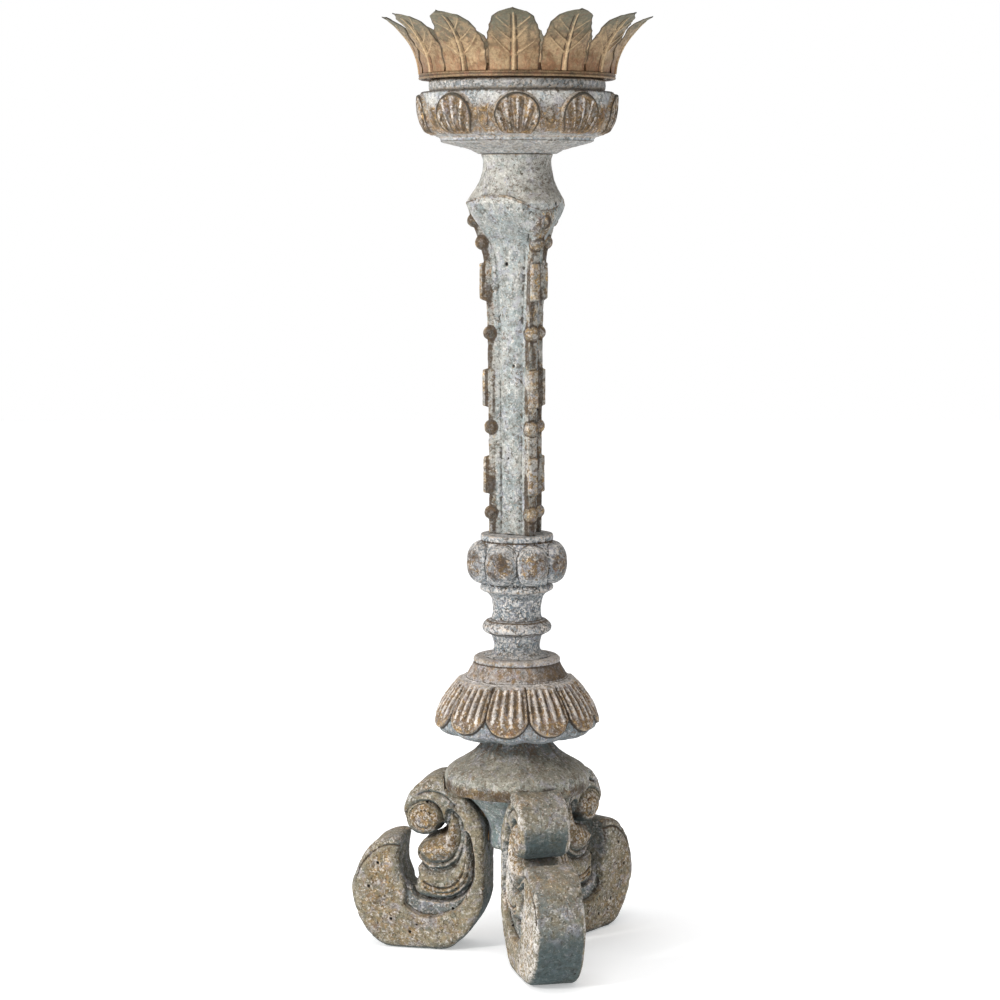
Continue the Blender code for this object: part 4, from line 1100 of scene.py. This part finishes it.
            # Painted shade: one side of each billet darker; on the first rib, the end next to the rib
            shaded = smooth(sideways, 1.5, 4.0)
            if corner == SHAFT_CORNERS[0]:
                shaded = smooth(-along, -rib_reach(billet) - 4.6, -rib_reach(billet) - 3.2)
            stain = np.maximum(stain, bar * 0.8 * shaded)
        lump = smooth(-np.sqrt((along - 40.0) ** 2 + (sideways / 1.4) ** 2 + ((height - 706.0) / 1.9) ** 2), -12.5, -8.0)
        gilt = np.maximum(gilt, lump * 0.9 * (corner == LUMP_CORNER))
    arch_line = np.exp(-(((height - arch_height(angle)) / 1.1) ** 2)) * (radius > 34.0)
    gilt = np.maximum(gilt, 0.9 * arch_line)
    gilt = np.maximum(gilt, 0.35 * rib)
    stain = np.maximum(stain, 0.5 * arch_line)
    # The turned neck darker, with painted shade deepening towards the right
    turned_neck = smooth(height, 727.0, 733.0) * (radius > 26.0)
    stain = np.maximum(stain, turned_neck * (0.22 + 0.25 * smooth(angle, 0.0, 55.0)))
    stain = np.maximum(stain, 0.22 * smooth(-height, -560.0, -430.0))
    chill = 0.45 * (1.0 - rib) * (height < 722.0) + 0.15
    gilt = np.maximum(gilt, 0.6 * rib)
    streaks = rib * smooth(noise(points * np.array([1.0, 1.0, 0.25]), 5.0, 91), -0.1, 0.35)
    values.update(gilt=gilt, chill=chill, stain=np.clip(stain + (0.25 * rib + 0.5 * streaks) * (gilt < 0.85), 0, 1), chalk=0.1 * (1.0 - rib))
    mesh = mesh_from("carved_shaft", moved, quads)
    store(mesh, **values)
    piece("carved_shaft", mesh, SHAFT_PAINT, "shaft_paint", "stand", "shaft")


# ---------------------------------------------------------------- metalwork

LEAVES, FIRST_LEAF = 12, -2.0
LEAF_BENDS = (0.0, -0.2, 0.4, -0.5, 0.2, 0.5, -0.3, 0.3, -0.4, 0.1, -0.6, -0.9)
LEAF_CURLS = (0.0, 3.0, 1.0, 4.0, -1.0, 2.0, 0.0, 3.0, -2.0, 1.0, 2.0, -2.0)


def leaf_surface(number, rows=86, columns=64):
    """An embossed leaf in mm at azimuth 0, as front and back skins with edges, and its edge and ridge values."""
    rng = np.random.default_rng(900 + number)
    low, high = (np.array(c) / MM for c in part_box(f"crown_leaf_{number + 1:02d}"))
    share, across = np.meshgrid(np.linspace(0.0, 1.0, rows), np.linspace(-1.0, 1.0, columns), indexing="ij")
    flat = np.stack([share.ravel() * 60.0, across.ravel() * 25.0, np.full(share.size, number * 31.0)], 1)
    half = 21.6 + 3.2 * np.sin(math.pi * np.minimum(share, 0.5))
    closing = np.sqrt(np.clip(1.0 - np.clip((share - 0.42) / 0.58, 0.0, 1.0) ** 2.5, 0.0, 1.0))
    teeth = 0.9 * np.abs(np.sin(share * math.pi * 8.5 + rng.uniform(0, 3))) * smooth(share, 0.22, 0.35)
    ragged = noise(flat, 5.0, 11).reshape(share.shape) * 0.7
    half = half * np.maximum(closing, 0.06) - (teeth + ragged) * (0.35 + 0.65 * smooth(share, 0.2, 0.4))
    side = across * half
    lean = LEAF_BENDS[number] * 9.0 * share**2.2
    rib_line = side - 0.9 * np.sin(share * 3.0 + number) * share
    rib = np.exp(-((rib_line / (2.1 - 1.1 * share)) ** 2)) * (1.0 - smooth(share, 0.84, 0.95))
    trench = np.exp(-(((np.abs(rib_line) - 3.1 + 1.3 * share) / 0.9) ** 2)) * (1.0 - smooth(share, 0.8, 0.92))
    vein = np.zeros_like(share)
    for i in range(3):
        start = 0.24 + 0.19 * i + rng.uniform(-0.03, 0.03)
        for s in (-1.0, 1.0):
            slope = 0.0115 + 0.003 * rng.uniform(-1, 1)
            path = start + slope * np.abs(side) * (1.0 + 0.012 * np.abs(side))
            closeness = (share - path - 0.02 * (s > 0)) * 57.0
            vein += np.exp(-((closeness / 1.25) ** 2)) * (side * s > 1.2) * (1.0 - smooth(np.abs(across), 0.75, 0.95))
    pillow = 0.9 * np.cos(share * math.pi * 5.6 - np.abs(side) * 0.17) * np.abs(across) * smooth(share, 0.05, 0.25)
    warp = noise(flat, 17.0, 21).reshape(share.shape)
    reach = 90.2 + 4.6 * share + (30.6 + 0.35 * LEAF_CURLS[number]) * share**2.15
    reach = reach + 2.3 * rib + 1.4 * np.clip(vein, 0, 1) - 0.9 * trench + pillow * 1.2 + 1.5 * warp * share
    reach = reach - 2.6 * across**2 * share + (0.7 if number % 2 else -0.1)
    curl = smooth(share, 0.8, 1.0)
    height = 842.0 + (56.6 - 1.2 * abs(LEAF_BENDS[number])) * (share - 0.06 * curl * share)
    height = height + 0.7 * noise(flat, 21.0, 31).reshape(share.shape) * share
    angle = (side + lean) / reach
    front = np.stack([reach * np.sin(angle), -reach * np.cos(angle), height], 2).reshape(-1, 3)
    index = np.arange(rows * columns).reshape(rows, columns)
    quads = np.stack([index[:-1, :-1], index[:-1, 1:], index[1:, 1:], index[1:, :-1]], 2).reshape(-1, 4)
    normal = normals_of(front, quads)
    if normal[:, 1].mean() > 0.0:
        quads = quads[:, ::-1]
        normal = -normal
    back = front - normal * 0.7
    count = len(front)
    loop = np.concatenate([index[0, :], index[1:, -1], index[-1, -2::-1], index[-2:0:-1, 0]])
    joined = np.stack([loop, np.roll(loop, -1), np.roll(loop, -1) + count, loop + count], 1)
    if np.cross(front[loop[1]] - front[loop[0]], back[loop[0]] - front[loop[0]])[2] > 0.0:
        joined = joined[:, ::-1]
    points = np.vstack([front, back])
    quads = np.vstack([quads, quads[:, ::-1] + count, joined])
    edge = np.maximum(smooth(np.abs(across), 0.9, 1.0), smooth(share, 0.95, 1.0)) * smooth(share, 0.05, 0.2)
    ridge = np.clip(rib * 1.2 + 0.8 * vein, 0.0, 1.0) - 0.8 * trench - 0.35 * np.clip(-pillow, 0, 1)
    both = lambda a: np.tile(a.ravel(), 2)  # noqa: E731
    return points, quads, both(edge), both(ridge), both(share)


def make_leaves():
    for number in range(LEAVES):
        points, quads, edge, ridge, share = leaf_surface(number)
        turn = math.radians(FIRST_LEAF + 360.0 * number / LEAVES)
        x, y = points[:, 0].copy(), points[:, 1].copy()
        points[:, 0] = x * math.cos(turn) - y * math.sin(turn)
        points[:, 1] = x * math.sin(turn) + y * math.cos(turn)
        name = f"tole_leaf_{number + 1:02d}"
        mesh = mesh_from(name, points, quads)
        store(mesh, edge=edge, ridge=ridge, lift=share)
        piece(name, mesh, LEAF_TOLE, "leaf_tole", "crown", f"crown_leaf_{number + 1:02d}")


def metal_piece(name, corners, columns, step, seed, material, slot, body, node, closed, dents):
    profile = spline(corners, step)
    if closed:
        profile = profile[:-1]
    points, quads = turned_surface(profile, columns, None, closed)
    normals = normals_of(points, quads)
    points = points + normals * (dents * (noise(points, 9.0, seed) + 0.5 * noise(points, 3.5, seed + 1)))[:, None]
    ridge = hollows(points, normals, quads, 4) * -3.0
    mesh = mesh_from(name, points, quads)
    zeros = np.zeros(len(points))
    store(mesh, edge=zeros, ridge=np.clip(ridge, -0.6, 0.6), lift=zeros + 0.2)
    return piece(name, mesh, material, slot, body, node)


def make_metal():
    low, high = (np.array(c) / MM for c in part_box("crown_rim"))
    middle = low[2] + 2.6
    corners = [
        (88.6, 849.0, 1), (88.7, middle + 3.0), (89.2, middle + 2.7, 1), (90.6, middle + 3.0), (92.2, middle + 2.2),
        (92.5, middle + 1.0), (91.9, middle + 0.2, 1), (92.6, middle - 0.6), (92.2, middle - 2.0), (90.6, middle - 2.5),
        (88.8, middle - 2.0), (87.9, middle - 0.6), (87.8, middle + 1.6), (87.8, 849.0, 1), (88.6, 849.0, 1),
    ]
    metal_piece("wired_rim", corners, 480, 0.6, 61, RIM_TOLE, "rim_tole", "crown", "crown_rim", True, 0.14)
    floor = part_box("drip_pan")[0].z / MM
    corners = [
        (86.9, 843.4, 1), (86.9, 841.0), (85.6, 838.6), (83.0, floor, 1), (6.0, floor, 1), (6.0, floor + 0.8, 1),
        (40.0, floor + 0.95), (82.4, floor + 0.8, 1), (85.0, 839.4), (86.1, 841.3), (86.1, 843.4, 1), (86.9, 843.4, 1),
    ]
    metal_piece("dished_pan", corners, 360, 1.4, 63, PAN_TOLE, "pan_tole", "crown", "drip_pan", True, 0.1)
    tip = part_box("pricket")[1].z / MM
    corners = [(0.3, tip, 1), (1.0, tip - 2.6), (2.2, tip - 14.0), (3.6, tip - 32.0), (4.15, tip - 44.0), (4.2, 838.0),
               (4.2, 792.0, 1)]
    metal_piece("forged_pricket", corners, 40, 0.9, 65, IRON, "wrought_iron", "stand", "pricket", False, 0.12)


def finish_dowels():
    wood = dowel_wood()
    for name, node in frame["nodes"].items():
        if "dowel" in name:
            node.data.materials.clear()
            node.data.materials.append(wood)
            node["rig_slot"] = "dowel_beech"


# ---------------------------------------------------------------- stage


def make_floor():
    mesh = bpy.data.meshes.new("studio_floor")
    size = 6.0
    mesh.from_pydata([(-size, -size, 0), (size, -size, 0), (size, size, 0), (-size, size, 0)], [], [(0, 1, 2, 3)])
    n = Nodes("studio_paper")
    tone = n.noise(900.0, 2.0, 0.5)
    colour = n.mix(tone, (250, 250, 250), (247, 247, 248))
    n.finish(colour, 0.9, 0.0, n.bump(n.noise(6.0), 0.02), 0.1)
    shader = n.material.node_tree.nodes["Principled BSDF"]
    shader.inputs["Emission Color"].default_value = (1.0, 1.0, 1.0, 1.0)
    shader.inputs["Emission Strength"].default_value = 0.34
    mesh.materials.append(n.material)
    floor = bpy.data.objects.new("studio_floor", mesh)
    bpy.context.scene.collection.objects.link(floor)


def add_light(name, place, target, size, power, colour):
    light = bpy.data.lights.new(name, "AREA")
    light.shape = "DISK"
    light.size = size
    light.energy = power
    light.color = colour
    obj = bpy.data.objects.new(name, light)
    obj.location = place
    obj.rotation_euler = (Vector(target) - Vector(place)).to_track_quat("-Z", "Y").to_euler()
    bpy.context.scene.collection.objects.link(obj)


def make_light():
    """Soft studio light: bright from the left, dim from the right, and a white background for the camera."""
    world = bpy.data.worlds.new("studio")
    bpy.context.scene.world = world
    world.use_nodes = True
    tree = world.node_tree
    background = tree.nodes["Background"]
    background.inputs["Color"].default_value = (1.0, 1.0, 1.0, 1.0)
    parts = tree.nodes.new("ShaderNodeSeparateXYZ")
    tree.links.new(tree.nodes.new("ShaderNodeTexCoord").outputs["Generated"], parts.inputs[0])
    side = tree.nodes.new("ShaderNodeMapRange")
    tree.links.new(parts.outputs["X"], side.inputs["Value"])
    for socket, value in (("From Min", -1.0), ("From Max", 0.9), ("To Min", 1.1), ("To Max", 0.42)):
        side.inputs[socket].default_value = value
    seen = tree.nodes.new("ShaderNodeMix")
    tree.links.new(tree.nodes.new("ShaderNodeLightPath").outputs["Is Camera Ray"], seen.inputs[0])
    tree.links.new(side.outputs["Result"], seen.inputs[2])
    seen.inputs[3].default_value = 1.0
    tree.links.new(seen.outputs[0], background.inputs["Strength"])
    add_light("key", (-1.9, -1.5, 1.5), (0.0, 0.0, 0.45), 0.4, 37.0, (1.0, 0.985, 0.96))
    add_light("top", (-0.3, -0.4, 2.4), (0.0, 0.0, 0.5), 0.9, 12.0, (0.98, 0.99, 1.0))
    bpy.context.scene.view_settings.view_transform = "Standard"


CAMERA_DISTANCE = 2.5
EYE_HEIGHT = 0.73
AIM = (-0.0162, 0.44)
PIXELS_PER_METRE = 1046.0


def make_camera():
    data = bpy.data.cameras.new("camera")
    camera = bpy.data.objects.new("camera", data)
    bpy.context.scene.collection.objects.link(camera)
    camera.location = (0.0, -CAMERA_DISTANCE, EYE_HEIGHT)
    aim = Vector((AIM[0], 0.0, AIM[1]))
    camera.rotation_euler = (aim - camera.location).to_track_quat("-Z", "Y").to_euler()
    reach = (aim - camera.location).length
    data.sensor_width = 36.0
    data.lens = PIXELS_PER_METRE * reach / 1000.0 * data.sensor_width
    data.clip_end = 50.0
    bpy.context.scene.camera = camera


make_camera()
make_light()
make_floor()
make_legs()
make_hub()
make_cap()
make_skirt()
make_baluster()
make_shaft()
make_cup()
make_disc()
make_leaves()
make_metal()
finish_dowels()
